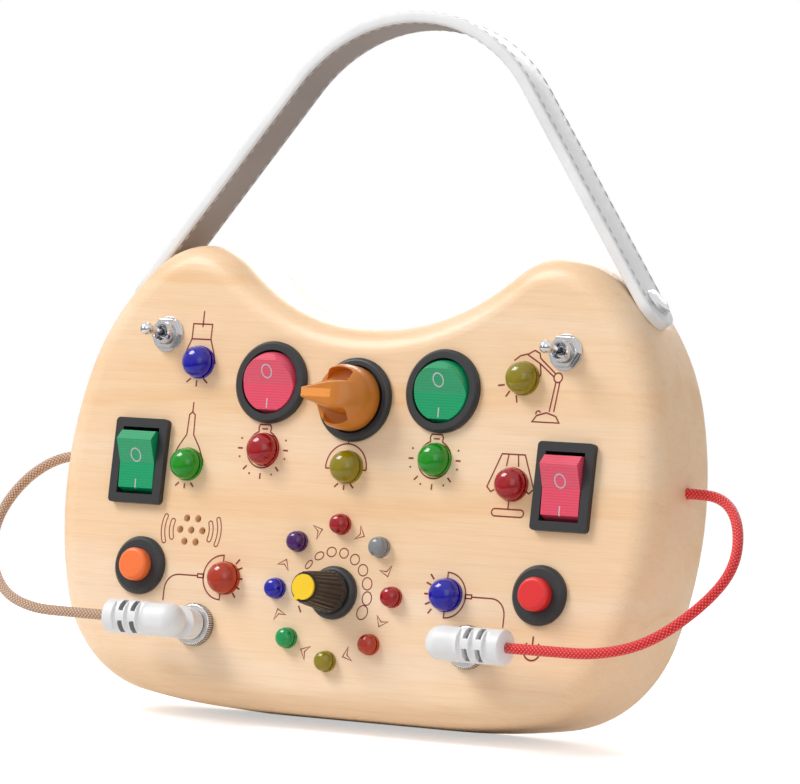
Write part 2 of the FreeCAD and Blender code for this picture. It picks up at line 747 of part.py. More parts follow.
def make_round_rockers():
    """Build the two round rockers: a round case with a bezel, and a ball-cut paddle."""
    cases, paddles = [], []
    for side, sign in SIDES.items():
        x, z = f"{sign} * round_rocker_x", "round_rocker_z"
        case = turned(f"round_case_{side}", [
            ("0", "-rocker_deep"), ("round_case", "-rocker_deep"), ("round_case", "0"),
            ("round_bezel", "0"), ("round_bezel", "bezel_height - 0.8"), ("round_bezel - 0.8", "bezel_height"),
            ("round_opening", "bezel_height"), ("round_opening", "-rocker_deep + rocker_floor"),
            ("0", "-rocker_deep + rocker_floor")])
        on_face(case, x, z)
        hole = along_x(cylinder(f"round_pivot_{side}", "rocker_pin + running_gap",
                                "2 * round_opening + rocker_floor + 0.2"),
                       f"{x} - round_opening - rocker_floor / 2 - 0.1",
                       "-body_depth / 2 + rocker_pivot", z)
        cases.append(cut(f"round_housing_{side}", case, hole))
        name = f"round_paddle_{side}"
        bar, pin = rocker_bar(name, x, z, "round_opening", "round_opening")
        ball = bind(DOC.addObject("Part::Sphere", name + "_ball"), Radius="round_opening - moving_gap")
        ball.Placement = FreeCAD.Placement(V(0, 0, 0), FreeCAD.Rotation(V(0, 0, 1), 90))
        bind(ball, Placement__Base__x=x, Placement__Base__z=z,
             Placement__Base__y="-body_depth / 2 + rocker_pivot")
        button = DOC.addObject("Part::Common", name + "_button")
        button.Base, button.Tool = bar, ball
        paddles.append(fuse(f"round_rocker_{side}_paddle", button, pin))
    return [group("round_rocker_housings", *cases)] + paddles


def make_square_rockers():
    """Build the two square rockers: a deep case with a bezel, and a ridged paddle."""
    cases, paddles = [], []
    for side, sign in SIDES.items():
        x, z = f"{sign} * (half_width - square_rocker_from_side)", "square_rocker_z"
        bezel = padded(f"square_bezel_{side}", rectangle("square_bezel_wide", "square_bezel_tall"),
                       "XY_Plane", "bezel_height")
        rounded(bezel, "square_corner", is_corner)
        on_face(bezel, x, z)
        wide, tall = "square_opening_wide + 2 * rocker_floor", "square_opening_tall + 2 * rocker_floor"
        case = on_face(padded(f"square_case_{side}", rectangle(wide, tall), "XY_Plane", "rocker_deep + 0.5"),
                       x, z, "-rocker_deep")
        room = on_face(padded(f"square_room_{side}", rectangle("square_opening_wide", "square_opening_tall"),
                              "XY_Plane", "rocker_deep + bezel_height + 1"), x, z, "-rocker_deep + rocker_floor")
        hole = along_x(cylinder(f"square_pivot_{side}", "rocker_pin + running_gap",
                                "square_opening_wide + rocker_floor + 0.2"),
                       f"{x} - square_opening_wide / 2 - rocker_floor / 2 - 0.1",
                       "-body_depth / 2 + rocker_pivot", z)
        cases.append(cut(f"square_housing_{side}", fuse(f"square_solid_{side}", bezel, case), room, hole))
        name = f"square_paddle_{side}"
        bar, pin = rocker_bar(name, x, z, "square_opening_wide / 2 - moving_gap", "square_opening_wide / 2")
        paddles.append(fuse(f"square_rocker_{side}_paddle", bar, pin))
    return [group("square_rocker_housings", *cases)] + paddles


def make_selector():
    """Build the rotary selector: its case with a round bezel, and the winged knob."""
    case = turned("selector_case_turn", [
        ("selector_shaft + running_gap", "-selector_deep"), ("selector_case", "-selector_deep"),
        ("selector_case", "0"), ("selector_bezel", "0"), ("selector_bezel", "bezel_height - 0.8"),
        ("selector_bezel - 0.8", "bezel_height"), ("selector_knob + moving_gap", "bezel_height"),
        ("selector_knob + moving_gap", "0.5"), ("selector_shaft + running_gap", "0.5")])
    on_face(case, "0", "selector_z")
    case.Label = "selector_housing"
    dome = turned("selector_dome", [
        ("0", "0.8"), ("selector_knob", "0.8"), ("selector_knob", "selector_base"),
        ("selector_knob * 0.97", "selector_height * 0.62"), ("selector_knob * 0.8", "selector_height * 0.9"),
        ("selector_knob * 0.62", "selector_height"), ("0", "selector_height")])
    on_face(dome, "0", "selector_z")
    scoops = []
    for side, sign in (("upper", 1), ("lower", -1)):
        scoop = cylinder(f"selector_scoop_{side}", "selector_scoop", "4 * selector_knob")
        along_x(scoop, "-2 * selector_knob", "-body_depth / 2 - selector_base - selector_scoop",
                f"selector_z + {sign} * (selector_ridge + selector_scoop)")
        scoops.append(scoop)
    slope = padded("selector_slope", [("1", "selector_height + 1"), ("selector_knob + 1", "selector_height + 1"),
                                      ("selector_knob + 1", "selector_base + 1")], "XZ_Plane",
                   "4 * selector_knob", True)
    on_face(slope, "0", "selector_z")
    shaft = on_face(cylinder("selector_stem", "selector_shaft", "selector_deep + 1 - moving_gap"), "0",
                    "selector_z", "-selector_deep + moving_gap")
    knob = fuse("selector_knob_piece", cut("selector_winged", dome, slope, *scoops), shaft)
    knob.Label = "selector_grip"
    return [case, knob]


def make_buttons():
    """Build both push buttons: case with flange, nut behind the wall, and the cap."""
    cases, nuts, caps = [], [], []
    slide = "button_cap + running_gap"
    for side, sign in SIDES.items():
        x, z = f"{sign} * (half_width - button_from_side)", "button_z"
        cases.append(on_face(turned(f"button_case_{side}", [
            ("0", "-button_deep"), ("button_case", "-button_deep"), ("button_case", "0"),
            ("button_flange", "0"), ("button_flange", "button_flange_high - 1"),
            ("button_flange - 1", "button_flange_high"), (slide, "button_flange_high"),
            (slide, "-button_deep + rocker_floor"), ("0", "-button_deep + rocker_floor")]), x, z))
        hole = "button_case + running_gap"
        nuts.append(on_face(turned(f"button_nut_{side}", [
            (hole, "0"), ("button_nut_radius", "0"), ("button_nut_radius", "button_nut_thick"),
            (hole, "button_nut_thick")]), x, z, "-front_wall - button_nut_thick"))
        floor = "-button_deep + rocker_floor + button_travel + moving_gap"
        cap = turned(f"button_{side}_cap", [("0", floor), ("button_cap", floor), ("button_cap", "button_top"),
                                            ("0", "button_top")])
        rounded(cap, "button_cap * 0.25", lambda edge: is_level(edge, size("button_top")))
        caps.append(on_face(cap, x, z))
    return [group("button_housings", *cases), group("button_nuts", *nuts)] + caps


def make_dial():
    """Build the dial: control body, nut, shaft, knob and coloured cap with its pointer."""
    z = "dial_z"
    case = on_face(turned("dial_case_turn", [
        ("dial_shaft + running_gap", "-front_wall - dial_case_deep"), ("dial_case", "-front_wall - dial_case_deep"),
        ("dial_case", "-front_wall"), ("dial_bush", "-front_wall"), ("dial_bush", "dial_ring_high"),
        ("dial_shaft + running_gap", "dial_ring_high")]), "0", z)
    case.Label = "dial_control"
    nut = on_face(turned("dial_nut", [
        ("dial_bush + running_gap", "0"), ("dial_ring", "0"), ("dial_ring", "dial_ring_high - 0.9"),
        ("dial_ring - 0.9", "dial_ring_high"), ("dial_bush + running_gap", "dial_ring_high")]), "0", z)
    low, top = "dial_ring_high + moving_gap", "dial_top - dial_cap_thick"
    shaft = on_face(turned("dial_shaft_turn", [
        ("0", "-front_wall - dial_case_deep + moving_gap"), ("dial_shaft", "-front_wall - dial_case_deep + moving_gap"),
        ("dial_shaft", "dial_top - 4"), ("0", "dial_top - 4")]), "0", z)
    shaft.Label = "dial_spindle"
    knob = on_face(turned("dial_knob_solid", [
        ("dial_shaft", low), ("dial_knob_root", low), ("dial_knob_tip", top), ("0", top),
        ("0", "dial_top - 4"), ("dial_shaft", "dial_top - 4")]), "0", z)
    disc = on_face(cylinder("dial_disc", "dial_cap", "dial_cap_thick"), "0", z, top)
    along = ("-sin(dial_start)", "-cos(dial_start)")
    across = ("cos(dial_start) * pointer_half", "-sin(dial_start) * pointer_half")
    corners = [(reach, sign) for reach, sign in (("0", 1), ("dial_knob_tip", 1), ("dial_knob_tip", -1), ("0", -1))]
    points = [tuple(f"{along[axis]} * {reach} + {sign} * {across[axis]}" for axis in (0, 1))
              for reach, sign in corners]
    hand = on_face(padded("dial_hand", points, "XY_Plane", "dial_cap_thick"), "0", z, top)
    cap = fuse("dial_cap_solid", disc, hand)
    cap.Label = "dial_pointer_cap"
    knob.Label = "dial_knob_grip"
    return [case, nut, shaft, knob, cap]


def lamp(name, x, z, radius, high, stem):
    """Build one lamp lens: a stem through the wall, a flange, a groove and a dome."""
    groove = f"{radius} * 0.84"
    lens = turned(name, [("0", "-front_wall"), (stem, "-front_wall"), (stem, "0"), (radius, "0"),
                         (radius, "lamp_flange"), (groove, "lamp_flange"), (groove, "lamp_flange + lamp_groove"),
                         (f"{radius} * 0.96", "lamp_flange + lamp_groove"), (f"{radius} * 0.96", high), ("0", high)])
    room = f"min({radius} * 0.9; {high} - lamp_flange - lamp_groove - 0.2)"
    level = size(high)
    rounded(lens, room, lambda edge: is_level(edge, level))
    return on_face(lens, x, z)


def make_lamps():
    """Build every lamp lens, grouped by colour, and the light-emitting diodes behind them."""
    made, diodes = [], []

    def diode(name, x, z):
        diodes.append(on_face(cylinder(name, "led_radius", "led_length"), x, z, "-front_wall - led_length"))

    for name, spots in LAMPS.items():
        lenses = []
        for index, (sign, place, z) in enumerate(spots):
            x = f"{sign} * {place}"
            lenses.append(lamp(f"{name}_{index}", x, z, "lamp_radius", "lamp_high", "lamp_stem"))
            diode(f"diode_{name}_{index}", x, z)
        made.append(group(name, *lenses))
    for name, places in RING_LAMPS.items():
        lenses = []
        for place in places:
            turn = 360.0 * place / RING_COUNT
            x, z = f"lamp_ring * sin({turn})", f"dial_z + lamp_ring * cos({turn})"
            lenses.append(lamp(f"{name}_{place}", x, z, "ring_lamp_radius", "ring_lamp_high", "ring_lamp_stem"))
            diode(f"diode_{name}_{place}", x, z)
        made.append(group(name, *lenses))
    return made + [group("lamp_diodes", *diodes)]


def make_sockets():
    """Build both sockets and the round nuts that hold them on the face."""
    cases, nuts = [], []
    for side, sign in SIDES.items():
        x, z = f"{sign} * socket_x", "socket_z"
        cases.append(on_face(turned(f"socket_{side}", [
            ("socket_bore", "-socket_deep"), ("socket_case * 1.5", "-socket_deep"),
            ("socket_case * 1.5", "-front_wall"), ("socket_case", "-front_wall"),
            ("socket_case", "socket_nut_high - 0.3"), ("socket_bore", "socket_nut_high - 0.3")]), x, z))
        hole = "socket_case + running_gap"
        nuts.append(on_face(turned(f"socket_nut_{side}", [
            (hole, "0"), ("socket_nut", "0"), ("socket_nut", "socket_nut_high - 0.5"),
            ("socket_nut - 0.5", "socket_nut_high"), (hole, "socket_nut_high")]), x, z))
    return [group("sockets", *cases), group("socket_nuts", *nuts)]


def make_plugs():
    """Build both right-angle plugs, each a moulded elbow and a metal pin."""
    made = []
    for side, sign in SIDES.items():
        x, z = f"{sign} * socket_x", "socket_z"
        low = "socket_nut_high + moving_gap"
        foot = on_face(cylinder(f"plug_foot_{side}", "plug_foot", f"plug_high - ({low})"), x, z, low)
        elbow = bind(DOC.addObject("Part::Sphere", f"plug_elbow_{side}"), Radius="plug_radius")
        on_face(elbow, x, z, "plug_high")
        arm = cylinder(f"plug_arm_{side}", "plug_radius", "plug_arm")
        start = x if sign > 0 else "-socket_x - plug_arm"
        along_x(arm, start, "-body_depth / 2 - plug_high", z)
        hole = on_face(cylinder(f"plug_pin_hole_{side}", "socket_bore - running_gap", f"4 + {low}"), x, z)
        made.append(cut(f"plug_{side}_body", fuse(f"plug_solid_{side}", foot, elbow, arm), hole))
        pin = on_face(cylinder(f"plug_{side}_pin", "socket_bore - running_gap", f"4 + plug_pin_reach + {low}"),
                      x, z, "-plug_pin_reach")
        made.append(pin)
    return made


def make_circuit_board():
    """Build the circuit board against the inside of the front wall, with two chips."""
    wall = "-body_depth / 2 + front_wall"
    board = block("board_plate", "board_x", f"{wall} + board_thick / 2", "board_z", "board_wide",
                  "board_thick", "board_tall")
    chips = [block(f"board_chip_{side}", f"board_x + {sign} * board_wide / 4",
                   f"{wall} + board_thick + chip_thick / 2", "board_z", "chip_wide", "chip_thick", "chip_tall")
             for side, sign in SIDES.items()]
    return fuse("circuit_board", board, *chips)


def make_speaker():
    """Build the small speaker behind its holes."""
    body = turned("speaker", [
        ("0", "0"), ("speaker_radius", "0"), ("speaker_radius", "-speaker_thick / 2"),
        ("speaker_magnet", "-speaker_thick / 2"), ("speaker_magnet", "-speaker_thick"), ("0", "-speaker_thick")])
    return on_face(body, "-speaker_x", "speaker_z", "-front_wall")


def tube_path(name, route):
    """Join a cord's points by straight runs and tangent arcs, and print the arcs' radii."""
    spots = [V(*spot) for spot in route]
    runs = [(after - before).Length for before, after in zip(spots, spots[1:])]
    edges, radii = [], []
    start = spots[0]
    for index in range(1, len(spots) - 1):
        back = (spots[index - 1] - spots[index]).normalize()
        ahead = (spots[index + 1] - spots[index]).normalize()
        half_turn = (math.pi - back.getAngle(ahead)) / 2
        trim = 0.45 * min(runs[index - 1], runs[index])
        radius = trim / math.tan(half_turn)
        bisector = (back + ahead).normalize()
        sagitta = radius / math.cos(half_turn) - radius
        first, last = spots[index] + back * trim, spots[index] + ahead * trim
        edges.append(Part.LineSegment(start, first).toShape())
        edges.append(Part.Arc(first, spots[index] + bisector * sagitta, last).toShape())
        radii.append(round(radius, 1))
        start = last
    edges.append(Part.LineSegment(start, spots[-1]).toShape())
    print(name, "arc radii", radii)
    return Part.Wire(edges)


def make_cords():
    """Build each cord as a tube along its route and compare its volume with its length."""
    made = []
    radius = size("cord_radius")
    for name, route in CORD_ROUTES.items():
        path = tube_path(name, route)
        way = V(*route[1]) - V(*route[0])
        ring = Part.Wire(Part.makeCircle(radius, V(*route[0]), way))
        tube = path.makePipeShell([ring], True, False)
        expected = math.pi * radius ** 2 * path.Length
        print(name, "length", round(path.Length, 1), "volume ratio", round(tube.Volume / expected, 4))
        made.append(feature(name, tube))
    return made


def strap_strip():
    """Make the strap's whole band as one solid, from tail to tail."""
    spot, normal, up = strap_frame()
    centre, radius, _ = outline_arcs()[3]
    thick, width = size("strap_thick"), size("strap_width")
    top = V(0, 0, size("strap_arch_level"))
    arch = size("strap_arch_radius")
    tail_turn = size("strap_tail") / radius

    def side_points(offset):
        """Give the tail's end, its middle, the screw line and the arch's start at one offset."""
        lean = math.radians(size("strap_lean"))
        tail = [centre + V(math.cos(lean - turn), 0, math.sin(lean - turn)) * (radius + offset)
                for turn in (tail_turn, tail_turn / 2)]
        leave = spot + normal * offset
        chord = top - leave
        reach = math.sqrt(chord.Length ** 2 - (arch + offset) ** 2)
        aim = math.atan2(chord.z, chord.x) - math.atan2(arch + offset, reach)
        return tail + [leave, leave + V(math.cos(aim), 0, math.sin(aim)) * reach]

    def mirrored(point):
        return V(-point.x, point.y, point.z)

    def half(offset):
        """Make the right half's edges of the line at one offset."""
        tail, middle, leave, join = side_points(offset)
        return [Part.Arc(tail, middle, leave).toShape(), Part.LineSegment(leave, join).toShape()], join, tail

    edges = []
    ends = []
    for offset in (0, thick):
        right, join, tail = half(offset)
        left = [Part.Arc(*[mirrored(point) for point in side_points(offset)[:3]]).toShape(),
                Part.LineSegment(mirrored(side_points(offset)[2]), mirrored(join)).toShape()]
        edges += right + left
        edges.append(Part.Arc(join, top + V(0, 0, arch + offset), mirrored(join)).toShape())
        ends.append(tail)
    edges.append(Part.LineSegment(ends[0], ends[1]).toShape())
    edges.append(Part.LineSegment(mirrored(ends[0]), mirrored(ends[1])).toShape())
    for edge in edges:
        edge.translate(V(0, -width / 2, 0))
    return Part.Face(Part.Wire(Part.__sortEdges__(edges))).extrude(V(0, width, 0))


def hinge_rod(radius):
    """Make the round space about the strap's hinge line, across the whole board."""
    reach = 2 * size("half_width")
    return Part.makeCylinder(radius, reach, V(-reach / 2, 0, size("strap_hinge_level")), V(1, 0, 0))


def make_strap():
    """Divide the strap into the free arch and two clamped tabs, with the screws' holes and pressed seats."""
    strip = strap_strip()
    spot, normal, _ = strap_frame()
    half = size("half_width") * 2
    level = size("strap_hinge_level")
    above = Part.makeBox(2 * half, 2 * half, half, V(-half, -half, level))
    keep = above.fuse(hinge_rod(size("strap_hinge_radius")))
    arch = feature("strap_arch", strip.common(keep))
    clear = above.fuse(hinge_rod(size("strap_hinge_radius") + size("moving_gap")))
    tabs = []
    for side, sign in SIDES.items():
        side_room = Part.makeBox(half, half, half, V(0 if sign > 0 else -half, -half / 2, 0))
        tab = strip.cut(clear).common(side_room)
        start = V(sign * spot.x, 0, spot.z) - V(sign * normal.x, 0, normal.z)
        way = V(sign * normal.x, 0, normal.z)
        hole = rod(start, way, size("strap_screw_radius") + size("seat_gap"), size("strap_thick") + 2)
        corners = [edge for edge in tab.Edges if edge.BoundBox.YLength < 1e-6
                   and edge.BoundBox.ZMax < spot.z - size("strap_tail") * 0.6
                   and edge.Length < size("strap_thick") * 1.01]
        tab = tab.makeFillet(size("strap_width") / 2 - 0.05, corners) if len(corners) == 2 else tab
        under_head = V(sign * spot.x, 0, spot.z) + way * size("strap_thick")
        pressed = rod(under_head, way, size("strap_screw_head") + size("seat_gap"), size("strap_thick"))
        tabs.append(feature(f"strap_tab_{side}", tab.cut(hole).cut(pressed)))
    return [arch] + tabs


def lean_out(item, sign, offset):
    """Set an object on the wood at the strap screw, its own Z axis along the normal."""
    spot, normal, _ = strap_frame()
    way = V(sign * normal.x, 0, normal.z)
    start = V(sign * spot.x, 0, spot.z) + way * offset
    item.Placement = FreeCAD.Placement(start, FreeCAD.Rotation(V(0, 0, 1), way))
    return item


def make_strap_screws():
    """Build the domed screws that clamp the strap, and the threaded inserts in the wood."""
    screws, inserts = [], []
    for side, sign in SIDES.items():
        reach = "insert_length - 1"
        screw = turned(f"strap_screw_{side}", [
            ("0", f"-({reach})"), ("strap_screw_radius", f"-({reach})"), ("strap_screw_radius", "strap_thick"),
            ("strap_screw_head", "strap_thick"), ("strap_screw_head", "strap_thick + strap_screw_head_high * 0.35"),
            ("strap_screw_head * 0.85", "strap_thick + strap_screw_head_high * 0.75"),
            ("strap_screw_head * 0.5", "strap_thick + strap_screw_head_high"),
            ("0", "strap_thick + strap_screw_head_high")])
        screws.append(lean_out(screw, sign, 0))
        insert = turned(f"strap_insert_{side}", [
            ("strap_screw_radius", "-insert_length"), ("insert_radius", "-insert_length"), ("insert_radius", "-0.2"),
            ("strap_screw_radius", "-0.2")])
        inserts.append(lean_out(insert, sign, 0))
    return [group("strap_screws", *screws), group("strap_inserts", *inserts)]


def check_and_export(pieces):
    """Stop on any failed object, then write one STEP file for each piece."""
    DOC.recompute()
    for item in DOC.Objects:
        if "Invalid" in item.State or "Error" in item.State:
            raise RuntimeError(f"{item.Label} did not recompute: {item.State}")
    os.makedirs("parts", exist_ok=True)
    for piece in pieces:
        shape = piece.Shape
        if shape.isNull() or not shape.isValid() or not shape.Solids:
            raise RuntimeError(f"{piece.Label} has no valid solid")
        shape.exportStep(f"parts/{piece.Label}.step")
        print(piece.Label, "solids", len(shape.Solids), "volume", round(shape.Volume, 1))


def main():
    """Build every piece of the board and write the files."""
    fill_sheet()
    pieces = [make_wooden_body(), make_back_panel(), make_battery_cover(), make_battery_box(),
              make_batteries(), make_contacts(), make_circuit_board(), make_speaker()]
    for build in (make_back_screws, make_toggles, make_round_rockers, make_square_rockers, make_selector,
                  make_buttons, make_dial, make_lamps, make_sockets, make_plugs, make_cords, make_strap,
                  make_strap_screws):
        pieces += build()
    check_and_export(pieces)


main()
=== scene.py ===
"""Looks of the wooden busy board: finishes, printed line art, strap, plugs, cords, floor, lamps and camera.

Lengths in the classes are millimetres in the frame's own axes: origin in the middle of the foot, the front
face at -Y, up at +Z.
"""

import logging
import math
from dataclasses import dataclass
from enum import Enum
from typing import Any, Callable, Iterator, Optional, Sequence

import bmesh
import bpy
from mathutils import Matrix, Vector
from mathutils.bvhtree import BVHTree


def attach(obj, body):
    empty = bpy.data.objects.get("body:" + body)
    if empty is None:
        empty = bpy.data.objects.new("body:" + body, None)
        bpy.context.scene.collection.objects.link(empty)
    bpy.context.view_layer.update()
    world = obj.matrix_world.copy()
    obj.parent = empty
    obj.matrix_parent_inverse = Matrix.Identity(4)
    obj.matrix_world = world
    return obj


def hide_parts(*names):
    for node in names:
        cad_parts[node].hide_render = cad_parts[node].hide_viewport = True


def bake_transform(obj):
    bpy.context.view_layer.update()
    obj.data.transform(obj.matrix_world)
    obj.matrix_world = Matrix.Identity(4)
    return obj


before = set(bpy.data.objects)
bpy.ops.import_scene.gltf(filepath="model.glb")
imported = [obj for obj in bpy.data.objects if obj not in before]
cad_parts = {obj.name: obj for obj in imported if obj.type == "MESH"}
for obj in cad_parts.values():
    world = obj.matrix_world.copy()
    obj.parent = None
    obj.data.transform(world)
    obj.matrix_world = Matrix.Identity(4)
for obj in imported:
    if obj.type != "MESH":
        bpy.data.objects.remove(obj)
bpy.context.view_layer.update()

LOG = logging.getLogger("busy_board")
MM = 0.001
Flat = tuple[float, float]
Colour = tuple[float, float, float, float]
Socket = bpy.types.NodeSocket
Given = Any
Stroke = Sequence[Flat]
Ray = tuple[float, float, float, float]


class Side(Enum):
    """Left and right as seen from the front, with the sign of X."""

    LEFT = -1
    RIGHT = 1

    @property
    def word(self) -> str:
        """The word used in node and body names."""
        return self.name.lower()


class Face(Enum):
    """Which way a flat print looks, as the sign of its normal along Y."""

    FRONT = -1
    BACK = 1


def linear(code: str) -> Colour:
    """Turn an sRGB hex value into a linear colour.

    Args:
        code: Six hex digits after a hash sign.

    Returns:
        Linear red, green and blue, with an alpha of 1.
    """
    parts = [int(code[i:i + 2], 16) / 255 for i in (1, 3, 5)]
    low, power = 0.04045, 2.4
    red, green, blue = [c / 12.92 if c <= low else ((c + 0.055) / 1.055) ** power for c in parts]
    return red, green, blue, 1.0


def add_node(tree: bpy.types.NodeTree, kind: str, given: Optional[dict] = None) -> bpy.types.Node:
    """Add one shader node.

    Args:
        tree: Node tree of the material or world.
        kind: Blender's name of the node type, without the word ShaderNode.
        given: Attributes and input sockets, and the values or the output sockets that they get.

    Returns:
        The new node.
    """
    node = tree.nodes.new("ShaderNode" + kind)
    for key, value in (given or {}).items():
        if isinstance(value, bpy.types.NodeSocket):
            tree.links.new(value, node.inputs[key])
        elif isinstance(key, str) and hasattr(node, key):
            setattr(node, key, value)
        else:
            node.inputs[key].default_value = value
    return node


class Shading:
    """Shader graph of one material or world. Every step gives the output socket of the node it adds."""

    def __init__(self, tree: bpy.types.NodeTree, shader: Optional[bpy.types.Node] = None) -> None:
        """Keep the node tree, and the shader that the pattern is joined to."""
        self.tree = tree
        self.shader = shader

    def step(self, kind: str, output: str, **given: Given) -> Socket:
        """Add one node whose inputs have names that are words."""
        return add_node(self.tree, kind, given).outputs[output]

    def place(self, scale: tuple[float, float, float] = (1, 1, 1)) -> Socket:
        """Give the object's own coordinates, in metres times the scale."""
        return self.step("Mapping", "Vector", Scale=scale, Vector=self.step("TexCoord", "Object"))

    def parts(self, vector: Optional[Socket] = None) -> list[Socket]:
        """Divide a vector, or the object's own coordinates, into its three parts."""
        return list(add_node(self.tree, "SeparateXYZ", {"Vector": vector or self.place()}).outputs)

    def maths(self, operation: str, first: Given, second: Given = 0.0) -> Socket:
        """Work out one sum from numbers or sockets."""
        return add_node(self.tree, "Math", {"operation": operation, 0: first, 1: second}).outputs[0]

    def noise(self, size: Given, **given: Given) -> Socket:
        """Give soft noise.

        Args:
            size: Size of a patch in millimetres, or the scales along X, Y and Z.
            given: Further inputs of the noise.

        Returns:
            The noise, from 0 to 1.
        """
        stretched = isinstance(size, tuple)
        return self.step("TexNoise", "Fac", Scale=1.0 if stretched else 1 / (size * MM),
                         Vector=self.place(size) if stretched else self.place(), **given)

    def cells(self, size_mm: float, **given: Given) -> Socket:
        """Give the distance to the middle of the nearest cell of a cell pattern."""
        return self.step("TexVoronoi", "Distance", Scale=1 / (size_mm * MM), Vector=self.place(), **given)

    def spread(self, value: Given, low: float = 0.0, high: float = 1.0, to: Flat = (0.0, 1.0)) -> Socket:
        """Stretch the values between low and high over another range, and cut off the rest."""
        return add_node(self.tree, "MapRange", {"Value": value, "From Min": low, "From Max": high, "To Min": to[0],
                                                "To Max": to[1]}).outputs["Result"]

    def stops(self, value: Socket, *stops: tuple[float, str]) -> Socket:
        """Turn a value into a colour through places from 0 to 1 with their sRGB hex values."""
        node = add_node(self.tree, "ValToRGB", {"Fac": value})
        band = node.color_ramp
        while len(band.elements) < len(stops):
            band.elements.new(0.5)
        for element, (place, code) in zip(band.elements, stops):
            element.position = place
            element.color = linear(code)
        return node.outputs["Color"]

    def blend(self, share: Given, first: Given, second: Given, kind: str = "MIX") -> Socket:
        """Blend two colours by a share."""
        return self.step("MixRGB", "Color", blend_type=kind, Fac=share, Color1=first, Color2=second)

    def paint(self, colour: Socket) -> None:
        """Join a colour to the shader."""
        self.tree.links.new(colour, self.shader.inputs["Base Color"])

    def mottle(self, colour: Given, share: float, value: Socket, *stops: tuple[float, str]) -> None:
        """Paint a colour darkened by a share of a pattern's own colours."""
        self.paint(self.blend(share, colour, self.stops(value, *stops), "MULTIPLY"))

    def gloss(self, value: Socket, low: float, high: float) -> None:
        """Vary the roughness between low and high."""
        self.tree.links.new(self.spread(value, to=(low, high)), self.shader.inputs["Roughness"])

    def relief(self, height: Socket, depth_mm: float, strength: float) -> None:
        """Join a height pattern to the shader's normal, with its depth and the share of it that shows."""
        bump = self.step("Bump", "Normal", Distance=depth_mm * MM, Strength=strength, Height=height)
        self.tree.links.new(bump, self.shader.inputs["Normal"])


@dataclass(frozen=True)
class Finish:
    """A surface finish: the plain shader values, and what subclasses add to them."""

    name: str
    colour: str
    roughness: float = 0.5
    metallic: float = 0.0
    ior: float = 1.5
    coat: float = 0.0
    transmission: float = 0.0
    sheen: float = 0.0
    coat_roughness: float = 0.12

    def material(self) -> bpy.types.Material:
        """Build the material once, and give it again when it is asked for again."""
        known = bpy.data.materials.get(self.name)
        if known:
            return known
        made = bpy.data.materials.new(self.name)
        made.use_nodes = True
        shader = made.node_tree.nodes["Principled BSDF"]
        values = {"Base Color": linear(self.colour), "Roughness": self.roughness, "Metallic": self.metallic,
                  "Coat Weight": self.coat, "Coat Roughness": self.coat_roughness,
                  "Transmission Weight": self.transmission, "Sheen Weight": self.sheen}
        if not self.metallic:
            values["IOR"] = self.ior
        for socket, value in values.items():
            shader.inputs[socket].default_value = value
        self.dress(Shading(made.node_tree, shader))
        return made

    def dress(self, graph: Shading) -> None:
        """Add the pattern of the finish. The plain finish has none."""


@dataclass(frozen=True)
class LacqueredPine(Finish):
    """Pine, sawn, sanded and lacquered: pale cream with long golden streaks and fine level grain lines."""

    streak: str = "#F3BE82"
    pale: str = "#FFE4C6"
    streak_mm: float = 26.0
    grain_mm: float = 1.5
    fibre_mm: float = 0.35

    def dress(self, graph: Shading) -> None:
        """Lay broad streaks, growth lines and fibre along X, as in a board glued up from long laths."""
        broad, thin, fine = [1 / (size * MM) for size in (self.streak_mm, self.grain_mm, self.fibre_mm)]
        wide = graph.noise((broad * 0.10, broad * 0.8, broad), Detail=3.0, Distortion=0.6)
        lines = graph.noise((thin * 0.016, thin * 0.5, thin), Detail=4.0, Roughness=0.6)
        fibre = graph.noise((fine * 0.03, fine, fine), Detail=2.0)
        tone = graph.stops(wide, (0.32, self.pale), (0.50, self.colour), (0.56, self.colour), (0.72, self.streak))
        grain = graph.stops(lines, (0.30, "#F4E4D2"), (0.50, "#FFFFFF"))
        graph.mottle(graph.blend(0.3, tone, grain, "MULTIPLY"), 0.35, fibre, (0.3, "#F2E6DA"), (0.6, "#FFFFFF"))
        graph.relief(fibre, 0.04, 0.25)


@dataclass(frozen=True)
class MouldedPlastic(Finish):
    """ABS, injection moulded in a spark-eroded mould: a fine even grain that softens its highlights."""

    grain_mm: float = 0.35
    grain_depth_mm: float = 0.03
    touch_mm: float = 9.0

    def dress(self, graph: Shading) -> None:
        """Add the mould's grain, and slight changes of gloss where hands have touched it."""
        graph.gloss(graph.noise(self.touch_mm, Detail=2.0), self.roughness - 0.06, self.roughness + 0.08)
        graph.relief(graph.noise(self.grain_mm, Detail=2.0), self.grain_depth_mm, 0.35)


@dataclass(frozen=True)
class RibbedPolycarbonate(Finish):
    """Polycarbonate, moulded and tinted: a gloss broken by fine level finger ribs."""

    rib_mm: float = 0.75
    rib_depth_mm: float = 0.09

    def dress(self, graph: Shading) -> None:
        """Add the ribs along X, one every rib_mm up the paddle, with painted shade darkening the colour in the troughs
        between them.
        """
        ribs = graph.step("TexWave", "Fac", bands_direction="Z", Distortion=0.0, Vector=graph.place(),
                          Scale=1 / (self.rib_mm * MM) / 20 * math.tau)
        # Painted shade: the paddle's colour is darkened where the ribs are low, in the troughs.
        graph.mottle(linear(self.colour), 0.6, ribs, (0.0, "#E2E2E2"), (0.6, "#FFFFFF"))
        graph.relief(ribs, self.rib_depth_mm, 0.3)


@dataclass(frozen=True)
class TintedLens(Finish):
    """Acrylic, moulded and deeply tinted, a little see-through: a wet gloss on a strong colour."""

    def dress(self, graph: Shading) -> None:
        """Add the faint swirls of moulded acrylic, which break up the gloss."""
        graph.relief(graph.noise(4.0, Detail=1.0, Distortion=1.5), 0.12, 0.35)


